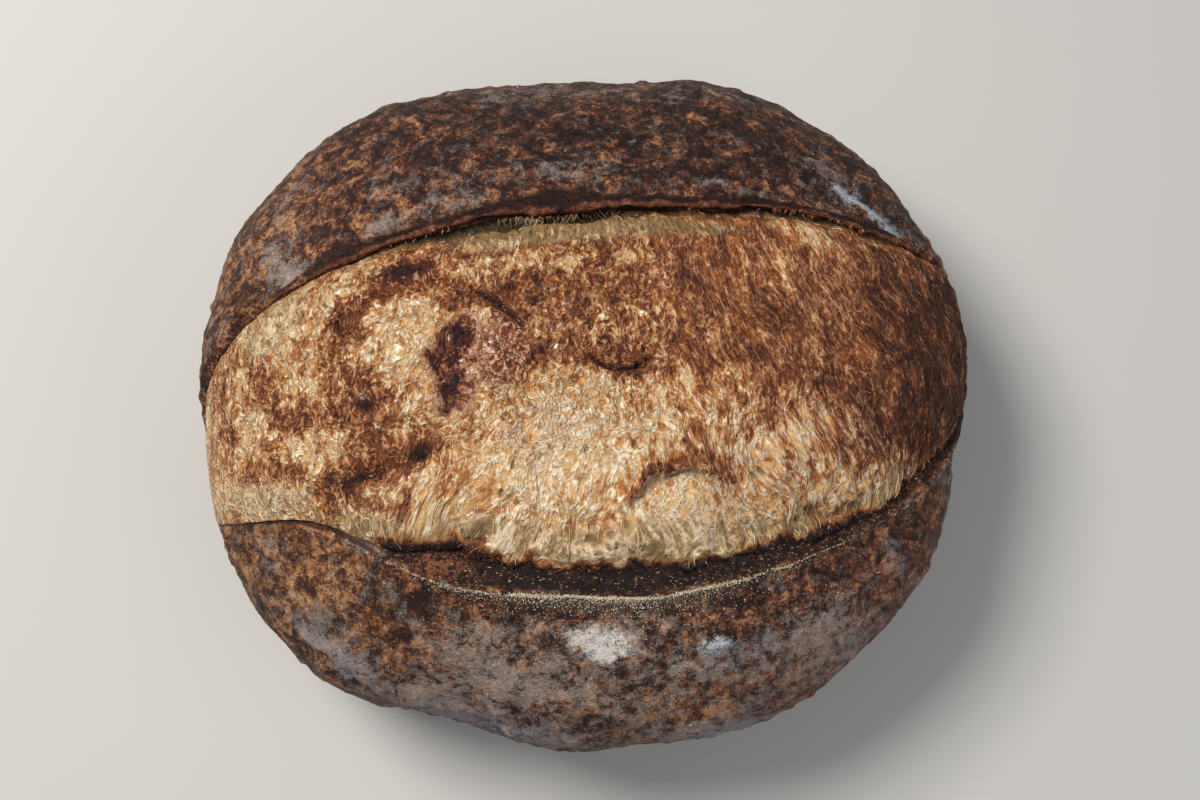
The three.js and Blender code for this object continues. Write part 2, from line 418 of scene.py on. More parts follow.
# rim of the opening as a smooth profile whose control lines change along it, then rays that run down the
# flank and in under the base; each ray starts on the hidden middle line under the crumb
def buildCrust():
    turn = rayPlaces()
    along = alongAt(turn)
    back = turn <= math.pi
    side = np.where(back, 1.0, -1.0)
    reaches = zip(openingReach(along, "back"), openingReach(along, "front"))
    edge, half, deep = [np.where(back, b, f) for b, f in reaches]
    radius = skinRadius(scoreDirection(along, edge))
    rimPlace = skinPoint(scoreDirection(along, edge), np.zeros_like(along))
    lip = lipStrength(along)
    ledge = ledgeStrength(along)
    depth = crust["hollowDepth"] * deep
    inner = np.minimum(16.0, 0.6 * half)
    tuck = np.minimum(crust["lipTuck"], 0.3 * half) * lip
    over = (crust["lipOverhang"] + 0.6 * layeredNoise(rimPlace, 9.0, 3, 3)) * lip
    breadth = lipBreadth(along)
    thick = crust["lipThickness"] * breadth * (1 + 0.2 * layeredNoise(rimPlace, 9.0, 3, 5)) * deep
    face = crust["lipFace"] * breadth * (1 + 0.25 * softNoise(rimPlace / 12.0, 6)) * deep
    top = crust["lipLift"] * (0.35 + 0.65 * lip) * deep
    # back lip, from the hidden floor under the crumb to the top of the flank: outward shift, lift
    backLines = [
        (-inner, -depth - 6), (-inner * 0.4, -depth - 3), (tuck * 0.6, -depth), (tuck, -depth * 0.8),
        (tuck, -depth * 0.45), (tuck * 0.7, -thick - 1.5 * lip), (-over + 1.6 * lip, -thick * 1.05),
        (-over - 0.2, top - thick * 1.05), (-over - 0.3, top - thick * 0.8),
        (-over + face * 0.4, top - thick * 0.4), (-over + face * 0.8, top - thick * 0.04),
        (-over + face, top + 0.25 * lip), (-over + face * 1.15, top),
        (-over + face + 2.0 * deep, top * 0.9), (-over + face + 4.0 * deep, top * 0.8),
    ]
    wide = crust["ledgeWidth"] * ledge * deep
    brow = crust["ledgeLift"] * (0.4 + 0.6 * ledge) * deep
    drop = crust["ledgeDrop"] * ledge * deep
    # front ledge, from the hidden floor to the flour line and the hollow outside it
    frontLines = [
        (-inner - wide, -depth - 2), (-inner * 0.6 - wide, -depth * 0.8),
        (-wide * 1.5 - deep, -drop * 2 - 6 * deep), (-wide * 1.3 - deep, -drop * 1.5 - 3 * deep),
        (-wide * 1.15, -drop * 1.15 - deep), (-wide, -drop - 0.4 * deep), (-wide * 0.8, -drop * 0.8),
        (-wide * 0.6, -drop * 0.5), (-wide * 0.4, -drop * 0.1), (-wide * 0.24, brow * 0.5),
        (-wide * 0.1, brow * 0.95), (-0.3 * deep * ledge, brow * 1.05), (0.7 * deep, brow * 0.95),
        (1.8 * deep, brow * 0.5), (4.0 * deep, brow * 0.05),
    ]
    lines = [[np.where(back, b[k], f[k]) for b, f in zip(backLines, frontLines)] for k in (0, 1)]
    offset = np.maximum(splineRows(lines[0], crust["rimRows"]), -0.97 * half[:, None])
    lift = splineRows(lines[1], crust["rimRows"])
    across = edge[:, None] + side[:, None] * np.degrees(offset / radius[:, None])
    rimPart = skinPoint(scoreDirection(along[:, None] + 0 * across, across), lift)
    spine = skinPoint(scoreDirection(along, scoreMiddle(along)), -(depth + 8 * deep))[:, None]

    start = scoreDirection(along, across[:, -1])
    startTilt = np.degrees(np.arcsin(start[:, 2]))[:, None]
    startHeading = np.degrees(np.arctan2(start[:, 1], start[:, 0]))[:, None]
    flank = np.linspace(0, 1, crust["flankRows"] + 1)[1:]
    under = np.linspace(0, 1, crust["baseRows"] + 1)[1:]
    edgeShare = (startTilt - crust["baseTilt"]) / (startTilt + 90)
    share = np.concatenate([edgeShare * flank, edgeShare + (1 - edgeShare) * under], 1)
    tilt = startTilt + (-90 - startTilt) * share
    heading = startHeading + turnBetween(np.degrees(turn)[:, None], startHeading) * smooth(0, 0.7, share)
    flat = np.cos(np.radians(tilt))
    direction = np.stack([flat * np.cos(np.radians(heading)), flat * np.sin(np.radians(heading)),
                          np.sin(np.radians(tilt))], -1)
    distance = np.arccos(np.clip((direction * start[:, None]).sum(-1), -1, 1)) * radius[:, None]
    fall = np.where(back[:, None], np.exp(-(distance / crust["liftFade"]) ** 1.3), np.exp(-distance / 3.0))
    fillet = np.where(back, 0.0, 0.9 * ledge * deep)[:, None] * bell(distance - 4.0, 5.0)
    flankPart = skinPoint(direction, lift[:, -1:] * fall - fillet)
    points = np.concatenate([spine, rimPart, flankPart], 1)
    outward = np.concatenate([-half[:, None], offset, offset[:, -1:] + distance], 1)
    lipEnd = (face - over)[:, None]
    return points, outward, along[:, None], back[:, None], lipEnd


# opposite rays share the hidden middle line, and all rays share the base's middle
def crustFaces(rays, columns):
    ray = np.arange(rays)
    number = ray[:, None] * columns + np.arange(columns)
    number[:, 0] = np.minimum(ray, rays - ray) * columns
    number[:, -1] = columns - 1
    for tip in (0, rays // 2):
        number[tip, : crust["rimRows"] + 1] = tip * columns
    opened = np.concatenate([number, number[:1]])
    shownRim = crust["rimRows"] + 1 - crust["hiddenRows"]
    across = np.concatenate([np.linspace(0, 0.05, crust["hiddenRows"]),
                             np.linspace(0.05, 0.26, shownRim + 1)[1:],
                             np.linspace(0.26, 0.9, crust["flankRows"] + 1)[1:],
                             np.linspace(0.9, 1, crust["baseRows"] + 1)[1:]])
    return gridFaces(opened, 2, across)


crustMarks = {
    # x, y, reach along, reach across and lean of each place
    "flour": ((43, -73, 12, 5, 10), (-32, -70, 9, 5, 10), (-66, -74, 22, 8, -40), (-35, -91, 24, 7, -12),
              (15, -96, 36, 7, 4), (-86, 33, 6, 11, 25), (84, 52, 22, 4, -38), (0, 92, 60, 5, 0),
              (66, -64, 10, 5, 38), (-20, 60, 26, 3.5, 6), (28, 57, 28, 3, -4), (-62, -44, 16, 3, -14),
              (-52, 47, 12, 2.5, 26), (0, -67, 30, 3, 0), (-76, -70, 8, 2.0, -42), (-45, -84, 8, 1.6, -30),
              (30, -94, 10, 1.6, 10), (0, -86, 40, 5, 0)),
    "patch": ((2, -71, 7, 4, -8), (8, -73, 5, 3, 20), (36, -71, 5, 2.0, 12), (82, 53, 13, 1.4, -38)),
    # haze: flour, with a painted bluish sheen along the lower edges of the flank and at the right end
    "hazeAndPaintedSheen": ((104, -25, 2.4, 7, 12), (88, -46, 2.4, 7, 25), (-88, 37, 2.4, 6, 25), (-83, 33, 4, 2.2, 30),
             (-66, -76, 14, 3.5, -40), (-40, -90, 12, 3, -20), (-12, -97, 12, 2.4, -4),
             (44, -94, 11, 2.4, 14), (12, -78, 44, 6, 0), (66, -74, 26, 14, 25), (-20, -82, 22, 5, -8)),
    # cool: painted bluish light that tints the flour
    "cool": ((-70, -78, 22, 7, -40), (-30, -94, 24, 6, -12), (38, -94, 22, 6, 14), (90, -45, 5, 10, 20),
             (105, -22, 5, 9, 10), (80, 56, 22, 4, -38), (-90, 28, 4, 13, 25), (-81, 42, 4, 9, 40),
             (98, 30, 6, 20, 15), (42, -72, 10, 5, 10)),
    "gold": ((-98, -44, 16, 22, 0), (-92, 40, 20, 22, 0), (-60, -55, 26, 8, -26), (-66, -60, 22, 10, -30),
             (30, -88, 14, 6, 0)),
    # dark: darker crust in places, and painted shade over the back of the dome
    "dark": ((-48, -57, 14, 5, -25), (-10, -62, 16, 3, 0), (20, -80, 24, 6, 0), (56, -66, 20, 6, 25),
             (30, 60, 60, 10, -4), (-10, 74, 50, 12, 0), (-62, 40, 18, 7, 30), (50, 78, 30, 12, -20),
             (-14, -86, 18, 5, -10), (10, 90, 70, 14, 0)),
    "rust": ((-40, -50, 9, 3.6, -12), (96, -50, 24, 18, 30), (60, -80, 26, 12, 20)),
}


# relief of the crust along its normals, in mm: broad swells, lumps, round blisters, small bubbles and fine
# grain; and the marks that its colours follow
def shapeCrust(points, outward, along, back, lipEnd):
    place = points.copy()
    x, z = place[..., 0], place[..., 2]
    lip = lipStrength(along)
    ledge = ledgeStrength(along)
    onLip = back * smooth(0.7, -0.3, outward - lipEnd)
    onBand = ~back * smooth(-0.4, -1.4, outward) * smooth(0.1, 0.4, ledge)
    spacing, blisterHeight = crust["blisters"]
    near, number = cellNoise(place / spacing, 73)
    blister = np.clip(1 - (near / (0.16 + 0.3 * number)) ** 2, 0, 1) * (number > 0.5)
    spacing, bubbleHeight = crust["bubbles"]
    near, number = cellNoise(place / spacing, 83)
    bubble = np.clip(1 - (near / 0.45) ** 2, 0, 1) * (number > 0.35)
    wrinkle = np.abs(softNoise(np.stack([outward / 2.4, x / 17.0, 0 * z], -1), 91))
    height = noiseSum(place, crust["noises"]) + blisterHeight * blister + bubbleHeight * bubble
    height += crust["wrinkles"] * back * bell(outward - lipEnd - 6, 7) * (0.4 - wrinkle)
    height *= (1 - 0.75 * onLip) * (1 - 0.8 * onBand)
    height += 0.5 * layeredNoise(place, 3.2, 3, 76) * onBand + 0.3 * layeredNoise(place, 4.0, 2, 77) * onLip
    firstShown = np.where(back, -2.2, -crust["ledgeWidth"] * ledge - 2.5)
    amount = smooth(0, 1.5, outward - firstShown) * smooth(0.0, 6.0, z)
    shaped = points - gridNormals(points, True, False) * (height * amount)[..., None]
    shaped[:, -1] = points[:, -1]

    spots = {key: spotSum(place, values) for key, values in crustMarks.items()}
    flour = crust["evenDust"] + sum(weight * spots[key] for key, weight in crust["dust"].items())
    flour += spots["patch"] * (0.9 + 0.6 * layeredNoise(place, 5.0, 2, 79))
    flour += 0.4 * back * (0.5 - wrinkle) * smooth(34, 8, outward) + 0.3 * layeredNoise(place, 14.0, 3, 78)
    flour += 0.2 * smooth(30, 8, z) - 0.35 * smooth(3, 0, z)
    fringeEdge = outward / np.maximum(lipEnd, 0.2) + 0.5 * layeredNoise(place, 3.0, 3, 81)
    line = ~back * bell(outward - 0.3, 0.5) * smooth(0.2, 0.6, ledge)
    line = line * (0.75 + 0.6 * layeredNoise(place, 5.0, 2, 82))
    line = line * mix(1.0, 0.4, smooth(26, 50, x)) * mix(0.45, 1.0, smooth(-34, -12, x))
    marks = {
        "flour": flour * (1 - onLip) * (1 - onBand),
        "white": spots["patch"],
        "cool": spots["cool"],
        "fringe": onLip * smooth(0.36, 0.0, fringeEdge),
        "gold": spots["gold"] + 0.5 * smooth(40, 12, z),
        "dark": spots["dark"],
        "rust": spots["rust"],
        "blister": blister + 0.5 * bubble,
        "lip": onLip * smooth(0.1, 0.75, lip) + 0 * z,
        "band": onBand + 0 * z,
        # grit: painted shade in the hollow outside the flour line, with grains over it
        "grit": ~back * smooth(0.6, 1.6, outward) * smooth(6.5, 3.0, outward) * spot(place, 12, -60, 26, 30),
        "seam": ~back * smooth(0.9, 0.0, np.abs(outward + 0.2)) * smooth(0.4, 0.12, ledge),
    }
    return shaped, {**clipped(marks), "line": line}


# crumb: the risen inside that shows in the opening

crumb = {
    "rows": 640,
    "topColumns": 138,
    "underColumns": 9,
    "crown": 4.6,
    "frontReach": 3.0,
    "frontFall": 1.6,
    "backFall": 1.6,
    "backReach": 8.0,
    "recess": 3.4,
    "dive": 11.0,
    "depth": 24.0,
    # place along the score, spread and reach in mm of each stray of the front edge
    "strays": ((-32, 4.5, 3.2), (-3, 6, -1.2), (14, 6, 1.0), (30, 8, -0.6), (46, 6, 0.7)),
    # relief: height, size, layers and seed of each plain noise, then single heights, then spacing and height
    # of what is strewn over it
    "noises": ((1.2, 19.0, 3, 21), (0.25, 4.5, 2, 46)),
    "gashDepth": 1.5,
    "blisterHeight": 1.8,
    "bubbleHeight": 1.4,
    "lensHeight": 0.9,
    "windowDepth": 1.8,
    "pebbles": (2.0, 0.5),
    "creases": (3.0, 0.45),
    "pores": (2.3, 0.8),
    # reach of the singed front edge, and how far it strays
    "singeReach": 7.4,
    "singeStray": 4.6,
}


# rows along the score, each a closed loop: over the top from the front edge to the back one and back
# underneath. Lift over the dome: a crown that falls as a power of the way to each edge, then a dive under
# the back lip
def buildCrumb():
    drawn = np.linspace(score["leftTip"], score["rightTip"], 2001)
    line = skinPoint(scoreDirection(drawn, scoreMiddle(drawn)), 0 * drawn)
    along = np.interp(evenPlaces(line, crumb["rows"]), np.linspace(0, 1, 2001), drawn)[:, None]
    even = np.linspace(-1, 1, crumb["topColumns"])[None]
    share = 0.65 * even + 0.35 * np.sin(even * math.pi / 2)
    front, frontHalf, frontDeep = openingReach(along, "front")
    back, backHalf, backDeep = openingReach(along, "back")
    middle = scoreMiddle(along)
    deep = np.minimum(frontDeep, backDeep)
    ledge = ledgeStrength(along)
    lip = lipStrength(along)
    frontPlace = skinPoint(scoreDirection(along, front), 0 * along)
    frontRadius = skinRadius(scoreDirection(along, front))
    backRadius = skinRadius(scoreDirection(along, back))
    frontX = frontPlace[..., 0]
    stray = 2.4 * smooth(-20, -30, frontX) + bellSum(frontX, crumb["strays"])
    ragged = 0.55 * layeredNoise(frontPlace, 6.0, 3, 61) + 0.4 * layeredNoise(frontPlace, 1.8, 2, 62)
    inward = (crumb["frontReach"] * ledge + (stray + ragged) * (0.15 + ledge)) * deep
    frontStart = front + np.degrees(np.clip(inward, 0, 0.6 * frontHalf) / frontRadius)
    backStart = back + np.degrees(np.minimum(crumb["backReach"] * lip, 0.2 * backHalf) / backRadius)
    onFront = share < 0
    across = np.where(onFront, mix(middle, frontStart, -share), mix(middle, backStart, share))
    away = np.abs(share)
    fromBack = np.radians(back - across) * backRadius
    ends = smooth(score["leftTip"], -50, along) * smooth(score["rightTip"], 50, along)
    crown = crumb["crown"] * (1 - away**2) * mix(0.3, 1.0, ends)
    frontDrop = crumb["frontFall"] * mix(0.2, 1.0, ledge) * away**4
    recess = (2.0 + crumb["recess"] * bell(along + 8, 17)) * lip + 0.6
    dive = recess * smooth(5.0, 0.0, fromBack) + crumb["dive"] * lip * smooth(-3.2, -8.0, fromBack)
    lift = (crown - np.where(onFront, frontDrop, crumb["backFall"] * away**6 + dive)) * deep
    top = skinPoint(scoreDirection(along + 0 * across, across), lift)

    turn = np.linspace(0, 1, crumb["underColumns"] + 2)[None, 1:-1]
    underAcross = mix(across[:, -1:], across[:, :1], turn)
    belly = np.sin(turn * math.pi) ** 0.6 * crumb["depth"] * deep
    underLift = mix(lift[:, -1:], lift[:, :1], turn) - belly
    under = skinPoint(scoreDirection(along + 0 * underAcross, underAcross), underLift)
    fromFront = np.radians(across - frontStart) * frontRadius
    return np.concatenate([top, under], 1), along, deep, fromFront, fromBack


def crumbFaces(rows, columns):
    number = np.arange(rows)[:, None] * columns + np.arange(columns)
    number[0] = 0
    number[-1] = (rows - 1) * columns
    across = np.concatenate([np.linspace(0, 0.94, crumb["topColumns"]),
                             np.linspace(0.94, 1, crumb["underColumns"] + 2)[1:]])
    return gridFaces(np.concatenate([number, number[:, :1]], 1)[:, ::-1], 2, across[::-1])


crumbPaths = {
    "lobeRidge": curvePath([(-72, 2), (-69, 11), (-64, 19), (-56, 25), (-46, 27), (-35, 27)]),
    "gash": curvePath([(-34.5, 17), (-34, 11), (-36, 5), (-35.5, 0), (-36, -5), (-35.5, -11)]),
    "domeArc": curvePath([(-31.5, 26), (-26.5, 23), (-21, 19), (-15.5, 13)]),
    "domeSeam": curvePath([(-15.5, 13), (-16.5, 7), (-19.5, 0), (-26, -6)]),
    "leftBand": curvePath([(-68, -30), (-62, -27), (-55, -25), (-49, -24), (-43, -20)]),
    "crescent": curvePath([(1, 7.5), (4, 4), (9, 2.5), (14, 3.5), (20, 7.5)]),
    "lobeLip": curvePath([(10, -36), (16, -30), (21, -26.5), (28, -25), (34, -25.5), (40, -30)]),
    "crack": curvePath([(-48, -29), (-48.5, -36), (-47, -44)]),
    "sliverLeft": curvePath([(-17, -42), (-14.5, -44.5), (-11.5, -47.5)]),
    "sliverRight": curvePath([(5.5, -44), (10, -43.4), (16, -43.8)]),
    "rightBand": curvePath([(56, -36), (62, -38), (70, -36), (80, -30)]),
}

# plain folds along those lines: strength and half width in mm of the relief and of each mark
crumbFolds = {
    "domeArc": {"height": (-2.0, 1.2), "brown": (0.7, 2.6), "char": (1.2, 1.1)},
    "domeSeam": {"height": (-0.9, 0.8), "brown": (0.9, 0.8)},
    "crack": {"height": (-1.6, 0.9), "brown": (1.6, 1.1), "char": (0.5, 0.8)},
    "rightBand": {"height": (-1.4, 1.8), "brown": (0.9, 2.6)},
    "sliverLeft": {"height": (0.8, 0.9), "brown": (1.3, 1.1)},
    "sliverRight": {"height": (0.8, 0.9), "brown": (1.3, 1.1)},
}
raggedFolds = ("crack", "rightBand")

# plain swells and hollows: height in mm, then x, y, reach along and reach across
crumbSwells = (
    (1.5, -27.3, 1.7, 2.6, 2.8), (2.6, -51, 4, 21, 19), (-1.2, -57.5, -8, 1.8, 1.6), (2.4, 28, -38, 17, 9),
    (-1.2, 17.5, -9.8, 2.6, 1.7), (1.8, 0, -46.5, 9, 3.0), (1.2, -28, -46, 4.0, 2.2),
)

crumbMarks = {
    # x, y, reach along, reach across and lean of each place
    "pale": ((-22, 41, 18, 5, 8), (14, 43, 34, 3.6, 0), (-22, -42, 24, 6, -8), (22, -43, 26, 7, 3),
             (58, -40, 16, 5, 25), (-90, -31, 15, 4, -5), (-88, 18, 14, 6, 38), (-58, -41, 13, 5, -12),
             (84, -28, 12, 4, 38)),
    # cream: pale cream places, and painted highlight over the lit middle of the crumb
    "cream": ((-90, -31, 15, 3.5, -5), (-88, 18, 12, 5, 38), (26, -37, 13, 6, 0), (-24, -44, 12, 4, 0),
              (-44, -6, 6, 7, 0), (-50, 9, 13, 8, 10), (-4, -14, 14, 9, -20), (5, -20, 12, 8, 0),
              (-11, -28, 14, 9, 0), (40, -14, 12, 10, 0), (66, 20, 5, 5, 0), (66, 40, 11, 3.5, -12),
              (93, 34, 7, 3, -40)),
    "brown": ((-14, 24, 16, 5, -12), (4, 23, 18, 9, 0), (28, 24, 24, 10, 4), (54, 24, 22, 12, 0),
              (84, 16, 17, 20, 0), (104, -4, 10, 20, 0), (113, 8, 9, 30, 0), (-92, 4, 5, 6, 0),
              (-90, -2, 5, 4, 0), (-86, -9, 6, 4, 0), (-101, -12, 4, 6, 0), (-89, -18, 4, 6, 0),
              (-92, -24, 9, 3, 0), (-98, 10, 7, 3, 30), (-106, 0, 4, 9, 0), (-78, -8, 3, 7, 0),
              (4, 6, 24, 5, -6), (38, 10, 26, 9, -8), (70, 2, 18, 10, -12), (108, 18, 8, 14, 0),
              (88, -8, 16, 8, -30), (40, 33, 46, 6, 2), (-20, 6, 7, 11, 0), (-27, 38, 12, 3, 5),
              (20, 40, 50, 4, 0), (78, 34, 18, 6, -20)),
    # cool: greyish tint on the pale strands
    "cool": ((76, -16, 24, 12, -25), (60, -28, 22, 9, 0), (92, -24, 12, 8, 35), (30, -34, 14, 6, 0),
             (-90, -31, 14, 4, 0), (-90, 19, 10, 5, 38), (92, 32, 7, 8, 0), (-12, -14, 12, 6, 0),
             (74, 22, 5, 5, 0)),
    "scorch": ((-64, 0, 9, 7, 0), (-58, -7, 7, 6, 0), (-57, -10, 13, 7, 0), (-54, -20, 14, 5, 10),
               (-50, 29, 17, 7, 14), (-27, -44, 6, 3, -20), (-70, -33, 7, 4.5, -20), (-63, 14, 5, 7, 50),
               (-34, 22, 9, 4, 0), (-88, -24, 14, 3, 0), (-70, 14, 3, 9, -25), (-52, -36, 8, 3, -20),
               (-78, 22, 3, 8, -25)),
    # windows: hollows under the thin pale skins, sunk in the relief and darkened with painted shade
    "windows": ((-27, -43, 2.4, 4, 0), (-16, -40, 6.5, 4.6, 10), (1, -39.5, 7, 3.6, 10),
                (-36, -40, 3, 3, 0), (-20, -34, 2, 4, -10), (38, -42, 4, 3, 0), (50, -41, 3, 3.5, 0),
                (64, -36, 4, 3, 20)),
    "lenses": ((22, 28, 2.4, 4.8, 25), (31, 30, 2.0, 4.2, 20), (11, 33, 4.0, 3.6, 0),
               (57, 26, 3.4, 4.6, 20), (44, 20, 2.4, 3.6, 15), (62, 11, 2.2, 4.6, 10),
               (50, 34, 2.0, 3.4, 25), (4, 22, 2.4, 2.2, 0), (-4, 33, 3.0, 2.4, 0), (36, 12, 2.0, 3.4, 15),
               (72, 30, 3.0, 4.0, 25), (80, 6, 3.0, 5.0, 15), (65, 42, 10, 2.6, -20), (56, 34, 3, 6, 40),
               (88, 26, 2.6, 6, 30)),
    "char": ((-50, 31, 11, 4.0, 14), (-30, -44.5, 4.6, 2.8, -15), (-59, -7, 3.4, 2.4, 15),
             (-44, -20, 3.5, 2.6, 30), (-62, -27, 5, 1.2, 15)),
}


# the next six functions add their share to the height or the marks of the crumb, in place

# torn blister: a ragged gash with a raised rim on its outer side, beside a thin dome
def tearBlister(place, torn, height, marks):
    distance, side, run = nearPath(torn, crumbPaths["gash"])
    outer, arch = side < 0, archOver(run)
    wide = np.where(outer, 4.2, 5.5) * arch + 0.4
    gash = smooth(wide, wide * np.where(outer, 0.7, 0.25), distance)
    height -= gash * (crumb["gashDepth"] + 0.9 * softNoise(place / 1.6, 33))
    height += 1.3 * bell(distance - wide - 0.8, 1.3) * outer * arch
    marks["gash"] = 0.5 + (np.where(outer, 4.8, 6.0) * arch - distance) / np.where(outer, 4.0, 8.0)
    marks["gash"] += 0.5 * spot(place, -31.5, 11.5, 1.6, 3.0, -20) + 0.5 * spot(place, -40.2, 3, 2.2, 1.6)
    domeEdge = np.hypot((place[..., 0] + 22.5) / 8.6, (place[..., 1] - 8.0) / 14.5)
    blister = smooth(1.0, 0.4, domeEdge + 0.18 * layeredNoise(place, 6.0, 3, 34))
    height += crumb["blisterHeight"] * blister * (1 - gash)
    marks["film"] = np.clip(blister * 1.3, 0, 1) * (1 - 0.7 * gash)


# left lobe: a dark curved ridge over it and a burnt fold in front of it
def foldLeftLobe(place, torn, height, marks):
    ridge, side, run = nearPath(torn, crumbPaths["lobeRidge"])
    ends = archOver(run)
    height += ends * (1.1 * bell(ridge - 3.0, 2.0) * (side < 0) - 1.7 * bell(ridge - 0.6, 1.4))
    marks["char"] += 0.55 * ends * bell(ridge, 1.3) * (0.7 + 0.6 * softNoise(place / 4, 35))
    marks["brown"] += 0.9 * ends * bell(ridge, 2.8)
    band, _, run = nearPath(torn, crumbPaths["leftBand"])
    height -= 1.5 * bell(band, 2.0) * archOver(run)
    marks["char"] += 0.55 * bell(band, 1.6) * (0.7 + 0.6 * softNoise(place / 3, 36))
    marks["brown"] += bell(band, 4.0)


# round bubble with a crescent fold under it, and a pale ring in front of it
def raiseBubble(place, height, marks):
    x, y = place[..., 0], place[..., 1]
    bubble = np.hypot(x - 11, (y - 11.5) * 1.05)
    height += crumb["bubbleHeight"] * smooth(8.8, 5.5, bubble) + 0.7 * bell(bubble - 8.4, 0.8)
    marks["brown"] = mix(marks["brown"], 0.6, smooth(9.2, 8.2, bubble))
    marks["brown"] += 0.5 * bell(bubble - 10.2, 1.2) - 0.5 * bell(bubble - 8.6, 0.6)
    fold, side, run = nearPath(place, crumbPaths["crescent"])
    ends = archOver(run)
    height += ends * np.where(side > 0, 1.5, -1.8) * bell(fold, 1.6)
    marks["char"] += 1.2 * ends * bell(fold - 0.5, 1.0) * (side < 0)
    marks["brown"] += 0.9 * ends * bell(fold, 3.0)
    ring = bell(np.hypot(x - 13.5, (y + 9) * 1.15) - 6.2, 0.9)
    height += 0.9 * ring
    marks["cream"] += 1.2 * ring


# jagged brown ridge over the pale porous lobe, with a groove under it, and painted grey shadow in the groove
# and in a small hollow near the ring
def foldFrontLobe(place, torn, height, marks):
    lip, side, run = nearPath(torn, crumbPaths["lobeLip"])
    over, under = archOver(run) * (side > 0), archOver(run) * (side < 0)
    height += 1.2 * over * bell(lip - 1.3, 1.5) - 1.9 * under * bell(lip - 1.0, 1.4)
    marks["brown"] += 1.2 * over * bell(lip - 1.5, 2.4)
    marks["ash"] = under * bell(lip - 1.2, 1.5) + 0.5 * spot(place, 17.5, -9.8, 2.6, 1.8)


# grain of the crumb: pebbly bumps drawn out along the fibres, curly crests, fibres and open pores
def grainCrumb(place, flow, porous, height, marks):
    pale, curl = np.clip(marks["pale"], 0, 1), np.clip(marks["curl"], 0, 1)
    drapes = pale * (1 - curl)
    fibrous = np.clip(marks["pale"] + smooth(10, 60, place[..., 0]) * 0.6, 0, 1) * (1 - curl)
    ones = np.ones(curl.shape)
    stretched = flow * np.stack([ones, mix(0.6, 1.0, curl), ones], -1)
    spacing, rise = crumb["pebbles"]
    near, _ = cellNoise(stretched / spacing, 41)
    height += rise * (0.55 - near) * (1 - 0.4 * fibrous) * (1 - 0.5 * drapes)
    height += 0.5 * layeredNoise(flow * np.array([1.0, 0.7, 1.0]), 6.0, 2, 48)
    spacing, rise = crumb["creases"]
    height += rise * (1 - np.abs(softNoise(stretched / spacing, 42))) ** 3
    height += 0.9 * drapes * layeredNoise(flow * np.array([1.0, 0.22, 1.0]), 4.2, 2, 50)
    fibre = (1 - np.abs(layeredNoise(flow * np.array([1.0, 0.34, 1.0]), 2.0, 2, 43))) ** 2
    height += (0.6 + 0.5 * pale) * fibrous * fibre
    spacing, depth = crumb["pores"]
    poreNear, poreNumber = cellNoise(stretched / spacing, 44)
    rarity = mix(0.86, 0.62, np.clip(marks["pale"] + porous, 0, 1))
    pore = smooth(0.33, 0.16, poreNear) * (poreNumber > rarity)
    height -= depth * pore
    marks["pore"] = pore


# marks of the singed front edge and of painted shade under the back lip, where the crumb dives under it;
# the hidden underside is wholly singed and in painted shade
def shadeEdges(place, along, fromFront, fromBack, marks):
    lip, width = lipStrength(along), fromFront.shape[1]
    top = place[:, :width]
    reach = crumb["singeReach"] + crumb["singeStray"] * np.clip(layeredNoise(top, 5.0, 3, 45), -0.8, 1)
    marks["singe"] = np.ones(place.shape[:2])
    marks["singe"][:, :width] = smooth(1.0, 0.0, fromFront / np.maximum(reach, 0.5))
    marks["singe"] *= smooth(0.1, 0.4, ledgeStrength(along))
    marks["deep"][:, :width] = np.maximum(marks["deep"][:, :width], smooth(11.0, 5.0, fromBack) * lip)
    edge = 0.4 + 3.4 * bell(along + 9, 14) + 1.4 * layeredNoise(top, 4.0, 2, 47)
    marks["recess"] = np.ones(place.shape[:2])
    marks["recess"][:, :width] = smooth(edge + 2.0, edge - 2.0, fromBack) * lip


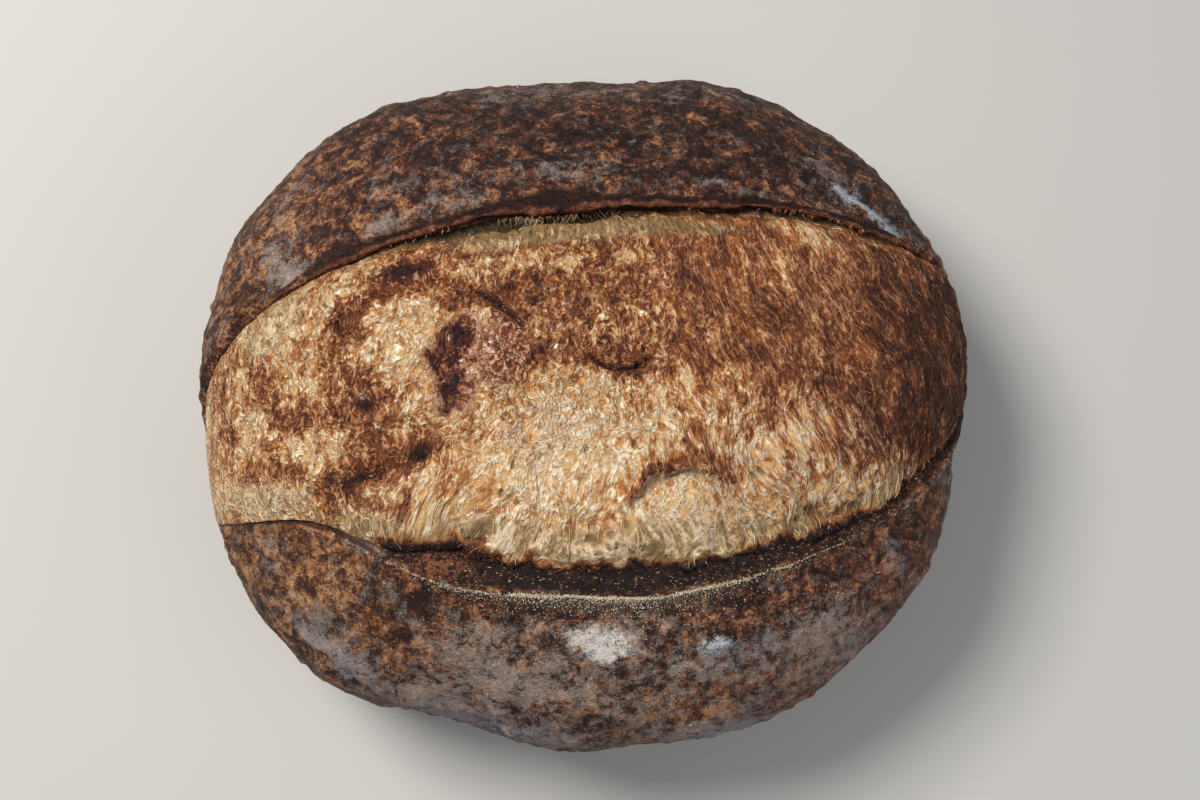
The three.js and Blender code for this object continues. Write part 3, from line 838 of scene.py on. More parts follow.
# relief of the crumb along its normals, in mm, with the marks that its colours follow. It is a sum of
# noises, swells, folds that are bells across a line, and grain, and it fades out where the crumb is hidden
def shapeCrumb(points, along, deep, fromFront, fromBack):
    place = points.copy()
    x, y, z = place[..., 0], place[..., 1], place[..., 2]
    shown = np.zeros(x.shape)
    shown[:, : fromFront.shape[1]] = smooth(-0.2, 1.6, fromFront) * smooth(-6.0, -2.0, fromBack)
    wander = [3.0 * layeredNoise(place, 22.0, 2, seed) for seed in (11, 12)]
    lean = mix(-0.3, 0.22 + 0.24 * smooth(-5, 30, y), smooth(-40, 50, x)) * smooth(-75, -45, x)
    overEnd = np.sign(x) * np.clip(82 - z, 0, 82) * smooth(70, 104, np.abs(x))
    flow = np.stack([x + overEnd + lean * y + wander[0], y + wander[1], 0 * x], -1)
    torn = place[..., :2] + 1.8 * np.stack([layeredNoise(place, 4.4, 3, seed) for seed in (31, 32)], -1)

    marks = {key: spotSum(place, spots) for key, spots in crumbMarks.items()}
    porous = spot(place, 27, -36, 15, 8)
    curl = 1 - 0.62 * smooth(4, 40, x) - 0.82 * smooth(-8, -34, y) * smooth(-62, -44, x)
    dapple = 0.5 * smooth(2, 40, x) * smooth(-40, -16, y) * smooth(10, 0, y)
    marks["brown"] += 0.8 * marks.pop("scorch") - 0.5 * marks["lenses"]
    marks["brown"] = np.maximum(marks["brown"], dapple * (1 + 0.6 * layeredNoise(place, 9.0, 2, 49)))
    marks["brown"] = np.clip(marks["brown"], 0, 1)
    marks["brown"] *= mix(0.84, 1.1, smooth(62, 95, x)) * mix(0.8, 1.0, smooth(-90, -70, x))
    # deep: the crumb darker towards its right end; shadeEdges adds painted shade under the back lip to it
    marks["deep"] = smooth(68, 98, x) * smooth(-34, -10, y)
    marks["curl"] = np.maximum(np.clip(curl, 0.12, 1), 0.75 * porous)

    height = noiseSum(place, crumb["noises"])
    height += crumb["lensHeight"] * marks["lenses"] - crumb["windowDepth"] * marks["windows"]
    for rise, *where in crumbSwells:
        height += rise * spot(place, *where)
    sums = {"height": height, **marks}
    for key, fold in crumbFolds.items():
        distance, _, run = nearPath(torn if key in raggedFolds else place, crumbPaths[key])
        for name, (strength, wide) in fold.items():
            sums[name] += strength * bell(distance, wide) * archOver(run)
    tearBlister(place, torn, height, marks)
    foldLeftLobe(place, torn, height, marks)
    raiseBubble(place, height, marks)
    foldFrontLobe(place, torn, height, marks)
    marks["pale"] -= 0.25 * marks["windows"]
    marks["cream"] += 1.4 * spot(place, 0, -46.5, 8, 2.2)
    grainCrumb(place, flow, porous, height, marks)
    shadeEdges(place, along, fromFront, fromBack, marks)
    normals = gridNormals(points, False, True)
    shaped = points + normals * (height * shown * deep)[..., None]
    return shaped, normals, clipped(marks), flow


# building materials from nodes

def tone(red, green, blue):  # a colour as it looks on screen, 0 to 255, made linear
    shares = [value / 255 for value in (red, green, blue)]
    return (*[s / 12.92 if s <= 0.04045 else ((s + 0.055) / 1.055) ** 2.4 for s in shares], 1.0)


building = {"tree": None}  # the node tree that new nodes go into


def feed(node, inputs):  # links sockets to a node's inputs, and sets plain values on them
    for key, value in inputs.items():
        if isinstance(value, bpy.types.NodeSocket):
            building["tree"].links.new(value, node.inputs[key])
        else:
            node.inputs[key].default_value = value
    return node


def addNode(kind, inputs=None, **settings):
    made = building["tree"].nodes.new("ShaderNode" + kind)
    for key, value in settings.items():
        setattr(made, key, value)
    return feed(made, inputs or {})


def calc(operation, *values):
    return addNode("Math", dict(enumerate(values)), operation=operation).outputs[0]


def add(first, *rest):
    for value in rest:
        first = calc("ADD", first, value)
    return first


def times(a, b):
    return calc("MULTIPLY", a, b)


def centred(value):  # a noise moved to lie round 0
    return add(value, -0.5)


def rise(value, low, high, start=0.0, end=1.0):  # eased step of a value between two limits
    inputs = {"Value": value, "From Min": low, "From Max": high, "To Min": start, "To Max": end}
    return addNode("MapRange", inputs, interpolation_type="SMOOTHSTEP").outputs[0]


def blend(share, a, b):  # mix of two colours
    return addNode("Mix", {0: share, 6: a, 7: b}, data_type="RGBA").outputs[2]


def addRamp(value, stops):  # colours at places from 0 to 1
    made = addNode("ValToRGB", {0: value})
    elements = made.color_ramp.elements
    while len(elements) < len(stops):
        elements.new(0.5)
    for element, (place, colour) in zip(elements, stops):
        element.position = place
        element.color = tone(*colour)
    return made.outputs[0]


def noise(vector, size, detail=2.0, roughness=0.5, distortion=0.0):
    inputs = {"Vector": vector, "Scale": 1 / size, "Detail": detail, "Roughness": roughness}
    return addNode("TexNoise", {**inputs, "Distortion": distortion}).outputs[0]


def mark(name):  # one of the numbers that the mesh holds for each point
    return addNode("Attribute", attribute_name=name).outputs["Fac"]


# a sum of parts, each times its weight; a name that isn't a part is a mark, and "start" is a plain number
def weigh(parts, recipe):
    total = None
    for name, weight in recipe.items():
        value = weight
        if name != "start":
            value = parts[name] if name in parts else mark(name)
            value = value if weight == 1 else times(value, weight)
        total = value if total is None else add(total, value)
    return total


def vectorCalc(operation, vector, **other):  # a vector added to or times another, or times a number
    inputs = {0: vector, **{1 if key == "by" else "Scale": value for key, value in other.items()}}
    return addNode("VectorMath", inputs, operation=operation).outputs[0]


def objectPlace():  # place on the loaf in mm
    return vectorCalc("SCALE", addNode("TexCoord").outputs["Object"], scale=1 / mm)


def scaledPlace(place, scale):
    return vectorCalc("MULTIPLY", place, by=scale)


def bentPlace(place, size, reach):  # a place pushed about by a noise of this size, up to half the reach
    shift = addNode("TexNoise", {"Vector": place, "Scale": 1 / size, "Detail": 2.0}).outputs["Color"]
    return vectorCalc("ADD", place, by=vectorCalc("SCALE", shift, scale=reach))


def sized(vector, size):  # a place divided by a size that comes from a socket
    return vectorCalc("SCALE", vector, scale=calc("DIVIDE", 1.0, size))


def newGroup(name, **inputs):  # a node group that reads a place and some numbers
    group = building["tree"] = bpy.data.node_groups.new(name, "ShaderNodeTree")
    group.interface.new_socket("Vector", in_out="INPUT", socket_type="NodeSocketVector")
    for key, value in inputs.items():
        socket = group.interface.new_socket(key, in_out="INPUT", socket_type="NodeSocketFloat")
        socket.default_value = value
    return group.nodes.new("NodeGroupInput").outputs


def giveOut(**values):  # outputs of the group, in this order
    group = building["tree"]
    for key in values:
        group.interface.new_socket(key, in_out="OUTPUT", socket_type="NodeSocketFloat")
    feed(group.nodes.new("NodeGroupOutput"), values)
    return group


def useGroup(group, **inputs):
    return addNode("Group", inputs, node_tree=group).outputs


# blotches of two sizes with a fine speckle over them: layered noises, bent by their own distortion
def mottleGroup():
    given = newGroup("mottle", Size=4.0, Speckle=0.3)
    place = sized(given["Vector"], given["Size"])
    large = noise(place, 1.0, 4.0, 0.62, 0.5)
    small = noise(place, 0.17, 2.0, 0.6, 0.2)
    value = add(large, times(calc("SUBTRACT", small, 0.5), given["Speckle"]))
    return giveOut(Value=rise(value, 0.30, 0.70))


# flour lying in patches: a dust cover that breaks into blotches, and dissolves into grains where it is thin
def flourGroup():
    given = newGroup("flourDust", Amount=0.5, Grain=0.5)
    patches = noise(given["Vector"], 6.0, 5.0, 0.65, 0.6)
    blotches = noise(given["Vector"], 2.7, 4.0, 0.62, 0.3)
    grains = noise(sized(given["Vector"], given["Grain"]), 1.0, 2.0, 0.7)
    parts = {"patches": centred(patches), "blotches": centred(blotches),
             "grains": centred(grains), "amount": given["Amount"]}
    cover = weigh(parts, {"patches": 1.6, "blotches": 2.4, "grains": 1.7, "amount": 0.8})
    mask = rise(cover, 0.15, 0.75)
    return giveOut(Mask=mask, Height=times(mask, grains))


# drawn-out fibres: a noise squeezed across and stretched along, folded into crests
def fibreGroup():
    given = newGroup("fibreGrain", Width=0.8, Stretch=4.0)
    place = sized(given["Vector"], given["Width"])
    squash = addNode("CombineXYZ", {0: 1.0, 1: calc("DIVIDE", 1.0, given["Stretch"]), 2: 1.0}).outputs[0]
    value = noise(scaledPlace(place, squash), 1.0, 3.0, 0.6, 0.7)
    fold = calc("ABSOLUTE", calc("SUBTRACT", times(value, 2.0), 1.0))
    return giveOut(Value=value, Crest=rise(fold, 0.35, 0.0))


def cellNumber(cells):  # a random number for each cell
    return addNode("SeparateColor", {0: cells.outputs["Color"]}).outputs[0]


# lone round specks: cells whose own random number is under a share, filled near their middle
def speckGroup():
    given = newGroup("specks", Size=1.0, Share=0.3)
    cells = addNode("TexVoronoi", {"Vector": sized(given["Vector"], given["Size"]), "Scale": 1.0})
    chosen = calc("LESS_THAN", cellNumber(cells), given["Share"])
    return giveOut(Mask=times(rise(cells.outputs["Distance"], 0.36, 0.2), chosen))


# bubbly cells in a bent place: thin lines along their borders, a random number for each, domes over them,
# and the rims and insides of round bubbles
def webGroup():
    given = newGroup("cellWeb", Size=2.0, Bend=1.0)
    place = bentPlace(sized(given["Vector"], given["Size"]), 1.25, given["Bend"])
    border = addNode("TexVoronoi", {"Vector": place, "Scale": 1.0}, feature="DISTANCE_TO_EDGE")
    cells = addNode("TexVoronoi", {"Vector": place, "Scale": 1.0})
    number = cellNumber(cells)
    away = cells.outputs["Distance"]
    reach = add(away, times(number, 0.35), -0.56)  # 0 on the rim of a round bubble
    return giveOut(Line=rise(border.outputs["Distance"], 0.13, 0.01), Number=number,
                   Dome=rise(away, 0.8, 0.05), Ring=rise(calc("ABSOLUTE", reach), 0.085, 0.0),
                   Disc=rise(reach, 0.0, -0.1))


mottle = mottleGroup()
flourDust = flourGroup()
fibreGrain = fibreGroup()
specks = speckGroup()
cellWeb = webGroup()


# grain of the crumb at all its sizes: patches, grains, thin lines, bubbles and pores, with noises round 0
def grainGroup():
    given = newGroup("crumbGrain")
    place = given["Vector"]
    bubbles = useGroup(cellWeb, Vector=place, Size=2.6, Bend=0.9)
    beads = useGroup(cellWeb, Vector=place, Size=1.5, Bend=0.9)
    windows = useGroup(cellWeb, Vector=place, Size=5.0, Bend=1.2)
    return giveOut(
        Patch=centred(noise(place, 3.2, 4.0, 0.62, 0.5)),
        Grain=centred(noise(place, 1.6, 4.0, 0.66, 0.5)),
        Line=calc("MAXIMUM", bubbles["Line"], times(beads["Line"], 0.6)),
        Bubble=centred(bubbles["Number"]), Bead=centred(beads["Dome"]),
        Window=centred(windows["Number"]), Rim=windows["Line"], Ring=windows["Ring"], Disc=windows["Disc"],
        Pore=useGroup(specks, Vector=place, Size=1.3, Share=0.34)["Mask"])


crumbGrain = grainGroup()


def newMaterial(name, roughness):
    material = bpy.data.materials.new(name)
    material.use_nodes = True
    shader = material.node_tree.nodes["Principled BSDF"]
    shader.inputs["Roughness"].default_value = roughness
    building["tree"] = material.node_tree
    return material, shader


def setBump(shader, height, distance):
    bump = addNode("Bump", {"Height": height, "Distance": distance * mm, "Strength": 1.0})
    feed(shader, {"Normal": bump.outputs[0]})


crustFinish = {
    # blotches over the crust: size in mm and share of speckle
    "blotches": {"large": (13.0, 0.35), "middle": (5.2, 0.55), "small": (1.9, 0.4)},
    # recipes: the weight of each noise and mark
    "warmth": {"large": 0.24, "middle": 0.64, "small": 0.34, "fine": 0.16, "start": -0.24,
               "gold": 0.07, "blister": 0.2, "dark": -0.14},
    "white": {"white": 1, "centredFine": 1.3, "small": 0.4},
    "powder": {"start": 0.3, "flour": 0.3, "whitened": 0.45, "centredFine": 0.9},
    "lip": {"small": 0.3, "fine": 0.5, "fringe": 0.4},
    "char": {"small": 0.4, "fine": 0.6},
    "line": {"line": 1, "grains": 0.5},
    "roughness": {"start": 0.5, "Mask": 0.3, "small": 0.12, "lip": -0.12},
    "height": {"middle": 0.5, "small": 0.45, "fine": 0.35, "Height": 0.3},
    # colours along each recipe
    "bakedTones": [(0.14, (32, 17, 15)), (0.36, (56, 31, 24)), (0.54, (86, 50, 35)), (0.70, (126, 81, 54)),
                   (0.90, (168, 124, 87))],
    "goldTones": [(0.2, (44, 25, 17)), (0.5, (96, 58, 35)), (0.72, (142, 95, 59)), (0.9, (178, 134, 90))],
    "lipTones": [(0.28, (26, 14, 13)), (0.56, (50, 24, 19)), (0.78, (90, 47, 32)), (1.0, (146, 96, 66))],
    "charTones": [(0.25, (16, 11, 12)), (0.5, (30, 20, 18)), (0.8, (66, 44, 36))],
    "rustTones": [(0.35, (92, 46, 30)), (0.68, (166, 106, 72))],
}


# baked crust: umber to chestnut blotches, golden areas, flour dust, a red-brown lip face, a charred band
# with pale specks and a granular flour line. Painted light and shade: bluish light on the flour in places,
# shade over the back of the dome, and shade in the hollow outside the flour line
def crustMaterial():
    finish = crustFinish
    material, shader = newMaterial("crustFinish", 0.62)
    place = objectPlace()
    parts = {name: useGroup(mottle, Vector=place, Size=size, Speckle=speckle)["Value"]
             for name, (size, speckle) in finish["blotches"].items()}
    small = parts["small"]
    fine = noise(place, 0.5, 2.0, 0.7)
    parts.update({"fine": fine, "centredFine": centred(fine)})
    warmth = weigh(parts, finish["warmth"])
    colour = blend(times(mark("gold"), 0.7), addRamp(warmth, finish["bakedTones"]),
                   addRamp(warmth, finish["goldTones"]))
    rust = times(mark("rust"), rise(small, 0.3, 0.8))
    colour = blend(times(rust, 0.5), colour, tone(124, 70, 50))

    dust = useGroup(flourDust, Vector=place, Amount=mark("flour"), Grain=0.42)
    # painted bluish light: the flour turns blue-grey where the cool mark is
    flourTone = blend(mark("cool"), tone(174, 158, 147), tone(157, 159, 165))
    parts["whitened"] = rise(weigh(parts, finish["white"]), 0.3, 1.0)
    flourTone = blend(parts["whitened"], flourTone,
                      blend(mark("cool"), tone(212, 206, 197), tone(178, 187, 198)))
    powder = times(dust["Mask"], weigh(parts, finish["powder"]))
    colour = blend(powder, colour, flourTone)
    seam = rise(mark("seam"), 0.2, 0.9)
    colour = blend(times(seam, 0.8), colour, tone(62, 38, 30))
    colour = blend(mark("lip"), colour, addRamp(weigh(parts, finish["lip"]), finish["lipTones"]))

    husks = useGroup(specks, Vector=scaledPlace(place, (0.45, 1.3, 1.3)), Size=0.7, Share=0.12)["Mask"]
    charTone = addRamp(weigh(parts, finish["char"]), finish["charTones"])
    rustBand = times(mark("rust"), rise(add(small, fine), 0.75, 1.15))
    charTone = blend(times(rustBand, 0.95), charTone, addRamp(fine, finish["rustTones"]))
    charTone = blend(times(husks, 0.75), charTone, tone(168, 132, 92))
    colour = blend(mark("band"), colour, charTone)

    parts["grains"] = grains = rise(noise(place, 0.42, 1.0, 0.5), 0.46, 0.58)
    # painted shade in the hollow outside the flour line, dotted with pale grains
    grit = times(mark("grit"), 0.7)
    colour = blend(grit, colour, blend(grains, tone(44, 30, 27), tone(150, 130, 110)))
    line = rise(weigh(parts, finish["line"]), 0.55, 0.95)
    colour = blend(times(line, 0.9), colour, blend(grains, tone(120, 100, 80), tone(206, 190, 160)))

    parts.update({"Mask": dust["Mask"], "Height": dust["Height"]})
    roughness = weigh(parts, finish["roughness"])
    feed(shader, {"Base Color": colour, "Roughness": roughness, "Specular IOR Level": 0.18})
    height = add(weigh(parts, finish["height"]), times(grains, times(grit, 0.3)))
    setBump(shader, height, 0.55)
    return material


crumbFinish = {
    # blotches over the crumb, the last two drawn out along its fibres: size in mm and share of speckle
    "blotches": {"broad": (8.0, 0.3), "lens": (3.6, 0.25), "sweep": (9.0, 0.2)},
    # recipes: the weight of each noise, grain and mark
    "browned": {"brown": 1, "Patch": 1.2, "lens": -0.25},
    "burn": {"start": 0.16, "Ring": -0.12, "Disc": 0.05, "browned": 0.52, "broad": 0.24, "sweep": 0.34,
             "Patch": 1.14, "lens": -0.3, "Bubble": 0.2, "cream": -0.18, "pale": -0.22, "lenses": -0.22,
             "deep": 0.3},
    "grains": {"granular": 2.3, "Bead": 0.7, "Line": -0.25, "Ring": 0.7, "Disc": -0.12, "cream": 0.12,
               "broad": 0.25},
    "hollow": {"start": 0.0, "drape": 2.4, "deep": -0.4, "windows": -0.5, "strandCrest": 0.3, "Ring": 0.3,
               "Disc": -0.22, "cream": 0.3, "Window": 0.6, "strand": 1.8, "Rim": 0.25, "broad": 0.6},
    "stretched": {"pale": 1, "Patch": 1.0, "granular": 0.4},
    "paintedGlints": {"granular": 1, "Bead": 0.25},
    "membrane": {"start": 0.80, "Patch": 1.1, "grains": 0.55, "wrinkles": -0.3},
    "skinned": {"film": 1, "Patch": 1.2},
    "burnt": {"char": 1, "Patch": 1.4, "granular": 1.2},
    "torn": {"gash": 1, "Patch": 1.9, "granular": 1.0, "lens": 0.16},
    "gash": {"start": 1.06, "torn": -0.66, "granular": 2.1, "broad": 0.25},
    "singed": {"singe": 1, "centredFine": 0.5, "granular": 1.2, "Patch": 0.6},
    "shaded": {"start": 0.5, "granular": 1.2},
    "wax": {"waxNoise": 1, "granular": 0.6},
    # colours along the recipes
    "gapTones": [(0.0, (212, 168, 114)), (0.18, (186, 126, 70)), (0.36, (154, 88, 42)),
                 (0.56, (118, 60, 31)), (0.78, (86, 42, 25)), (1.0, (52, 27, 20))],
    "grainTones": [(0.0, (246, 228, 198)), (0.2, (230, 196, 150)), (0.4, (212, 162, 114)),
                   (0.6, (186, 132, 90)), (0.8, (148, 94, 62)), (1.0, (90, 52, 37))],
    "paleGapTones": [(0.15, (94, 74, 46)), (0.5, (146, 116, 72)), (0.85, (190, 158, 112))],
    "paleGrainTones": [(0.15, (150, 124, 84)), (0.5, (200, 172, 130)), (0.85, (232, 216, 190))],
    # the palest membrane colours are painted glints
    "membraneAndPaintedGlintTones": [(0.2, (96, 46, 30)), (0.45, (152, 92, 60)), (0.66, (204, 154, 120)),
                      (0.86, (246, 214, 190))],
    "charTones": [(0.3, (26, 18, 19)), (0.7, (58, 34, 27))],
    # the gash colours end in a pinkish painted highlight
    "gashAndPaintedHighlightTones": [(0.22, (42, 28, 36)), (0.44, (78, 40, 35)), (0.60, (132, 72, 50)),
                  (0.80, (202, 154, 122))],
    "shadeTones": [(0.3, (58, 47, 36)), (0.7, (116, 97, 70))],
}


# risen crumb: pale glossy grains over tan gaps, both browned in patches, burnt and singed in places, with
# stretched membranes, small open pores and a waxy shine. Painted light and shade: glints on grain tips and
# in the membrane and torn blister colours, a brighter lit middle, and shade under the back lip, in the
# lobe's groove and in the see-through windows. Every grain is mixed from one drawn out along the fibres and
# one without a direction
def crumbMaterial():
    finish = crumbFinish
    material, shader = newMaterial("crumbFinish", 0.45)
    flow = addNode("Attribute", attribute_name="flow").outputs["Vector"]
    place = objectPlace()
    pale = mark("pale")
    drawn = scaledPlace(bentPlace(flow, 9.0, 3.0), (1.5, 0.66, 1.5))
    swirled = scaledPlace(bentPlace(place, 7.0, 6.0), (1.25, 0.9, 1.25))
    along = useGroup(crumbGrain, Vector=drawn)
    around = useGroup(crumbGrain, Vector=swirled)
    parts = {key: addNode("Mix", {0: mark("curl"), 2: along[key], 3: around[key]}).outputs[0]
             for key in along.keys()}
    strand = useGroup(fibreGrain, Vector=flow, Width=1.9, Stretch=4.5)
    drape = centred(useGroup(fibreGrain, Vector=flow, Width=3.6, Stretch=5.0)["Value"])
    granular = times(parts["Grain"], add(1.0, times(parts["Disc"], -0.7)))
    fine = noise(place, 0.35, 2.0, 0.65)
    for name, (size, speckle) in finish["blotches"].items():
        where = place if name == "broad" else drawn
        parts[name] = centred(useGroup(mottle, Vector=where, Size=size, Speckle=speckle)["Value"])
    parts.update({"granular": granular, "strandCrest": strand["Crest"], "strand": centred(strand["Value"]),
                  "drape": drape, "centredFine": centred(fine), "waxNoise": noise(flow, 2.6, 3.0, 0.7),
                  "wrinkles": useGroup(fibreGrain, Vector=place, Width=1.7, Stretch=1.0)["Crest"]})

    def recipe(name):
        return weigh(parts, finish[name])

    def cover(colour, value, low, high, over, most=1.0):  # lays a colour over another as a value rises
        return blend(rise(value, low, high, 0.0, most), colour, over)

    parts["browned"] = rise(recipe("browned"), 0.16, 0.82)
    burn = recipe("burn")
    parts["grains"] = grains = recipe("grains")
    # raised grains take the paler colour and the gaps the darker one: partly their own colour, partly
    # painted light on the tops and painted shade in the gaps; the deep mark dims them
    lit = times(rise(grains, -0.42, 0.32), add(1.0, times(mark("deep"), -0.35)))
    colour = blend(lit, addRamp(burn, finish["gapTones"]), addRamp(burn, finish["grainTones"]))
    greyed = times(mark("cool"), rise(grains, -0.2, 0.4))
    colour = blend(times(greyed, rise(burn, 0.9, 0.3, 0.0, 0.62)), colour, tone(190, 170, 158))

    hollow = recipe("hollow")
    stretchedTone = blend(add(0.34, times(lit, 0.36)), addRamp(hollow, finish["paleGapTones"]),
                          addRamp(hollow, finish["paleGrainTones"]))
    colour = cover(colour, recipe("stretched"), 0.25, 0.85, stretchedTone, 0.88)
    # painted glints: near-white specks on the tips of the grains, most where the crumb is pale
    paintedGlints = times(rise(recipe("paintedGlints"), 0.18, 0.32),
                 add(rise(burn, 0.9, 0.2, 0.08, 0.2), times(mark("cream"), 0.3)))
    colour = blend(paintedGlints, colour, tone(246, 230, 206))

    # painted grey shadow in the groove under the lobe's ridge
    ash = times(mark("ash"), rise(fine, 0.2, 0.6))
    colour = blend(times(ash, 0.7), colour, tone(112, 104, 94))
    membrane = addRamp(recipe("membrane"), finish["membraneAndPaintedGlintTones"])
    colour = cover(colour, recipe("skinned"), 0.1, 0.8, membrane, 0.85)
    pores = calc("MAXIMUM", times(parts["Pore"], rise(pale, -0.6, 0.7)), mark("pore"))
    colour = blend(times(pores, 0.66), colour, tone(88, 66, 50))

    burnt = recipe("burnt")
    colour = cover(colour, burnt, 0.36, 0.6, tone(84, 42, 28))
    colour = cover(colour, burnt, 0.62, 0.86, addRamp(fine, finish["charTones"]))
    parts["torn"] = torn = recipe("torn")
    colour = cover(colour, torn, 0.1, 0.34, tone(122, 66, 42), 0.5)
    colour = cover(colour, torn, 0.30, 0.40, addRamp(recipe("gash"), finish["gashAndPaintedHighlightTones"]))
    singed = recipe("singed")
    colour = cover(colour, singed, 0.04, 0.34, tone(158, 104, 54), 0.8)
    colour = cover(colour, singed, 0.3, 0.5, tone(104, 54, 30))
    colour = cover(colour, singed, 0.52, 0.72, tone(34, 22, 20))
    # painted shade under the back lip: the shaded colours, then near black where it is deepest
    recess = mark("recess")
    colour = cover(colour, recess, 0.0, 0.7, addRamp(recipe("shaded"), finish["shadeTones"]), 0.9)
    colour = cover(colour, recess, 0.5, 1.0, tone(38, 30, 25), 0.6)

    roughness = add(0.42, times(rise(burn, 0.1, 0.9), 0.14), times(fine, 0.2))
    wax = times(rise(recipe("wax"), 0.53, 0.68), rise(burn, 1.0, 0.4, 0.0, 0.8))
    feed(shader, {"Base Color": colour, "Roughness": roughness, "Specular IOR Level": 0.2,
                  "Coat Weight": wax, "Coat Roughness": 0.16})
    height = add(times(times(grains, 0.9), rise(pale, 0.2, 1.0, 1.0, 0.3)),
                 times(parts["Patch"], 0.9), times(parts["Disc"], 0.25), times(fine, 0.2),
                 times(pores, -0.8), times(times(pale, add(strand["Value"], drape)), 1.3),
                 times(mark("film"), times(parts["wrinkles"], 0.4)))
    setBump(shader, height, 0.8)
    return material


crustPoints, crustOutward, along, back, lipEnd = buildCrust()
crustAlong = along + 0 * crustOutward
crustTop, crustMarksMade = shapeCrust(crustPoints, crustOutward, along, back, lipEnd)
crustOut = -gridNormals(crustTop, True, False)
addPiece("crust", "crust", crustTop, *crustFaces(*crustTop.shape[:2]), crustMaterial(), crustMarksMade)

points, along, deep, fromFront, fromBack = buildCrumb()
points, crumbNormals, marksOfCrumb, flow = shapeCrumb(points, along, deep, fromFront, fromBack)
addPiece("crumb", "crumb", points, *crumbFaces(*points.shape[:2]), crumbMaterial(), marksOfCrumb, flow)
crumbTop = points[:, : crumb["topColumns"]]


# fine things on the surface, each kind joined into one piece

def sampleGrid(values, row, column):  # values between the points of a grid
    row = np.clip(row, 0, values.shape[0] - 1.001)
    column = np.clip(column, 0, values.shape[1] - 1.001)
    r, c = row.astype(int), column.astype(int)
    t, s = row - r, column - c
    if values.ndim == 3:
        t, s = t[..., None], s[..., None]
    near = mix(values[r, c], values[r, c + 1], s)
    return mix(near, mix(values[r + 1, c], values[r + 1, c + 1], s), t)


def joined(*parts):  # numbers side by side as places, after each is spread to the shape of the widest
    return np.stack(np.broadcast_arrays(*parts), -1)


def columnAt(distance, row, wanted):  # column of each row where a rising distance reaches the wanted value
    line = distance[np.clip(row.astype(int), 0, len(distance) - 1)]
    first = np.clip((line < wanted[:, None]).sum(1) - 1, 0, line.shape[1] - 2)
    low = np.take_along_axis(line, first[:, None], 1)[:, 0]
    high = np.take_along_axis(line, first[:, None] + 1, 1)[:, 0]
    return first + np.clip((wanted - low) / np.maximum(high - low, 1e-6), 0, 1)


def sheetCells(count, uv):  # gives each of many small shapes its own cell of the bake sheet
    side = math.ceil(math.sqrt(count))
    cell = np.arange(count)
    corner = np.stack([cell % side, cell // side], -1)[:, None, None]
    return ((corner + 0.08 + 0.84 * uv[None]) / side).reshape(-1, 3, 2)


# closed tubes along many lines at once: rings round each step, and a single point at both ends
def tubes(lines, radii, sides):
    count, steps = lines.shape[:2]
    radii[:, [0, -1]] = 0
    ahead = np.gradient(lines, axis=1)
    ahead /= np.maximum(np.linalg.norm(ahead, axis=-1, keepdims=True), 1e-9)
    helper = np.where(np.abs(ahead[..., 2:]) < 0.8, np.array([0.0, 0.0, 1.0]), np.array([1.0, 0.0, 0.0]))
    across = np.cross(ahead, helper)
    across /= np.linalg.norm(across, axis=-1, keepdims=True)
    up = np.cross(across, ahead)
    turn = np.arange(sides) * 2 * math.pi / sides
    ring = across[:, :, None] * np.cos(turn)[:, None] + up[:, :, None] * np.sin(turn)[:, None]
    points = lines[:, :, None] + ring * radii[..., None, None]
    number = np.arange(steps * sides).reshape(steps, sides)
    number[0] = 0
    number[-1] = (steps - 1) * sides
    opened = np.concatenate([number, number[:, :1]], 1)
    faces, uv = gridFaces(opened[:, ::-1], 1, np.linspace(0, 1, sides + 1))
    many = faces[None] + (np.arange(count) * steps * sides)[:, None, None]
    return points.reshape(-1, 3), many.reshape(-1, 3), sheetCells(count, uv)


# corners of three crossed golden rectangles, and the twenty faces between them
golden = (1 + math.sqrt(5)) / 2
lumpCorners = np.array([(-1, golden, 0), (1, golden, 0), (-1, -golden, 0), (1, -golden, 0),
                        (0, -1, golden), (0, 1, golden), (0, -1, -golden), (0, 1, -golden),
                        (golden, 0, -1), (golden, 0, 1), (-golden, 0, -1), (-golden, 0, 1)])
lumpCorners /= math.hypot(1, golden)
lumpFaces = np.array([(0, 11, 5), (0, 5, 1), (0, 1, 7), (0, 7, 10), (0, 10, 11), (1, 5, 9), (5, 11, 4),
                      (11, 10, 2), (10, 7, 6), (7, 1, 8), (3, 9, 4), (3, 4, 2), (3, 2, 6), (3, 6, 8),
                      (3, 8, 9), (4, 9, 5), (2, 4, 11), (6, 2, 10), (8, 6, 7), (9, 8, 1)])


# many uneven lumps with twenty faces: their corners pushed in and out, then scaled along three directions
def lumps(centres, halves, axes, uneven, random):
    count = len(centres)
    corners = lumpCorners * (1 + uneven * random.uniform(-1, 1, (count, 12, 1)))
    points = centres[:, None] + np.einsum("nck,nk,nkx->ncx", corners, halves, axes)
    faces = lumpFaces[None] + (np.arange(count) * 12)[:, None, None]
    place = np.arange(20)
    corner = np.stack([place % 5, place // 5], -1)[:, None]
    uv = (corner + np.array([(0.1, 0.1), (0.9, 0.1), (0.5, 0.9)])[None]) / np.array([5, 4])
    return points.reshape(-1, 3), faces.reshape(-1, 3), sheetCells(count, uv)


def framesOn(normal, heading):  # three crossed directions: along a heading, across it, out of the surface
    ahead = heading - normal * (heading * normal).sum(-1, keepdims=True)
    ahead /= np.maximum(np.linalg.norm(ahead, axis=-1, keepdims=True), 1e-9)
    return np.stack([ahead, np.cross(normal, ahead), normal], 1)


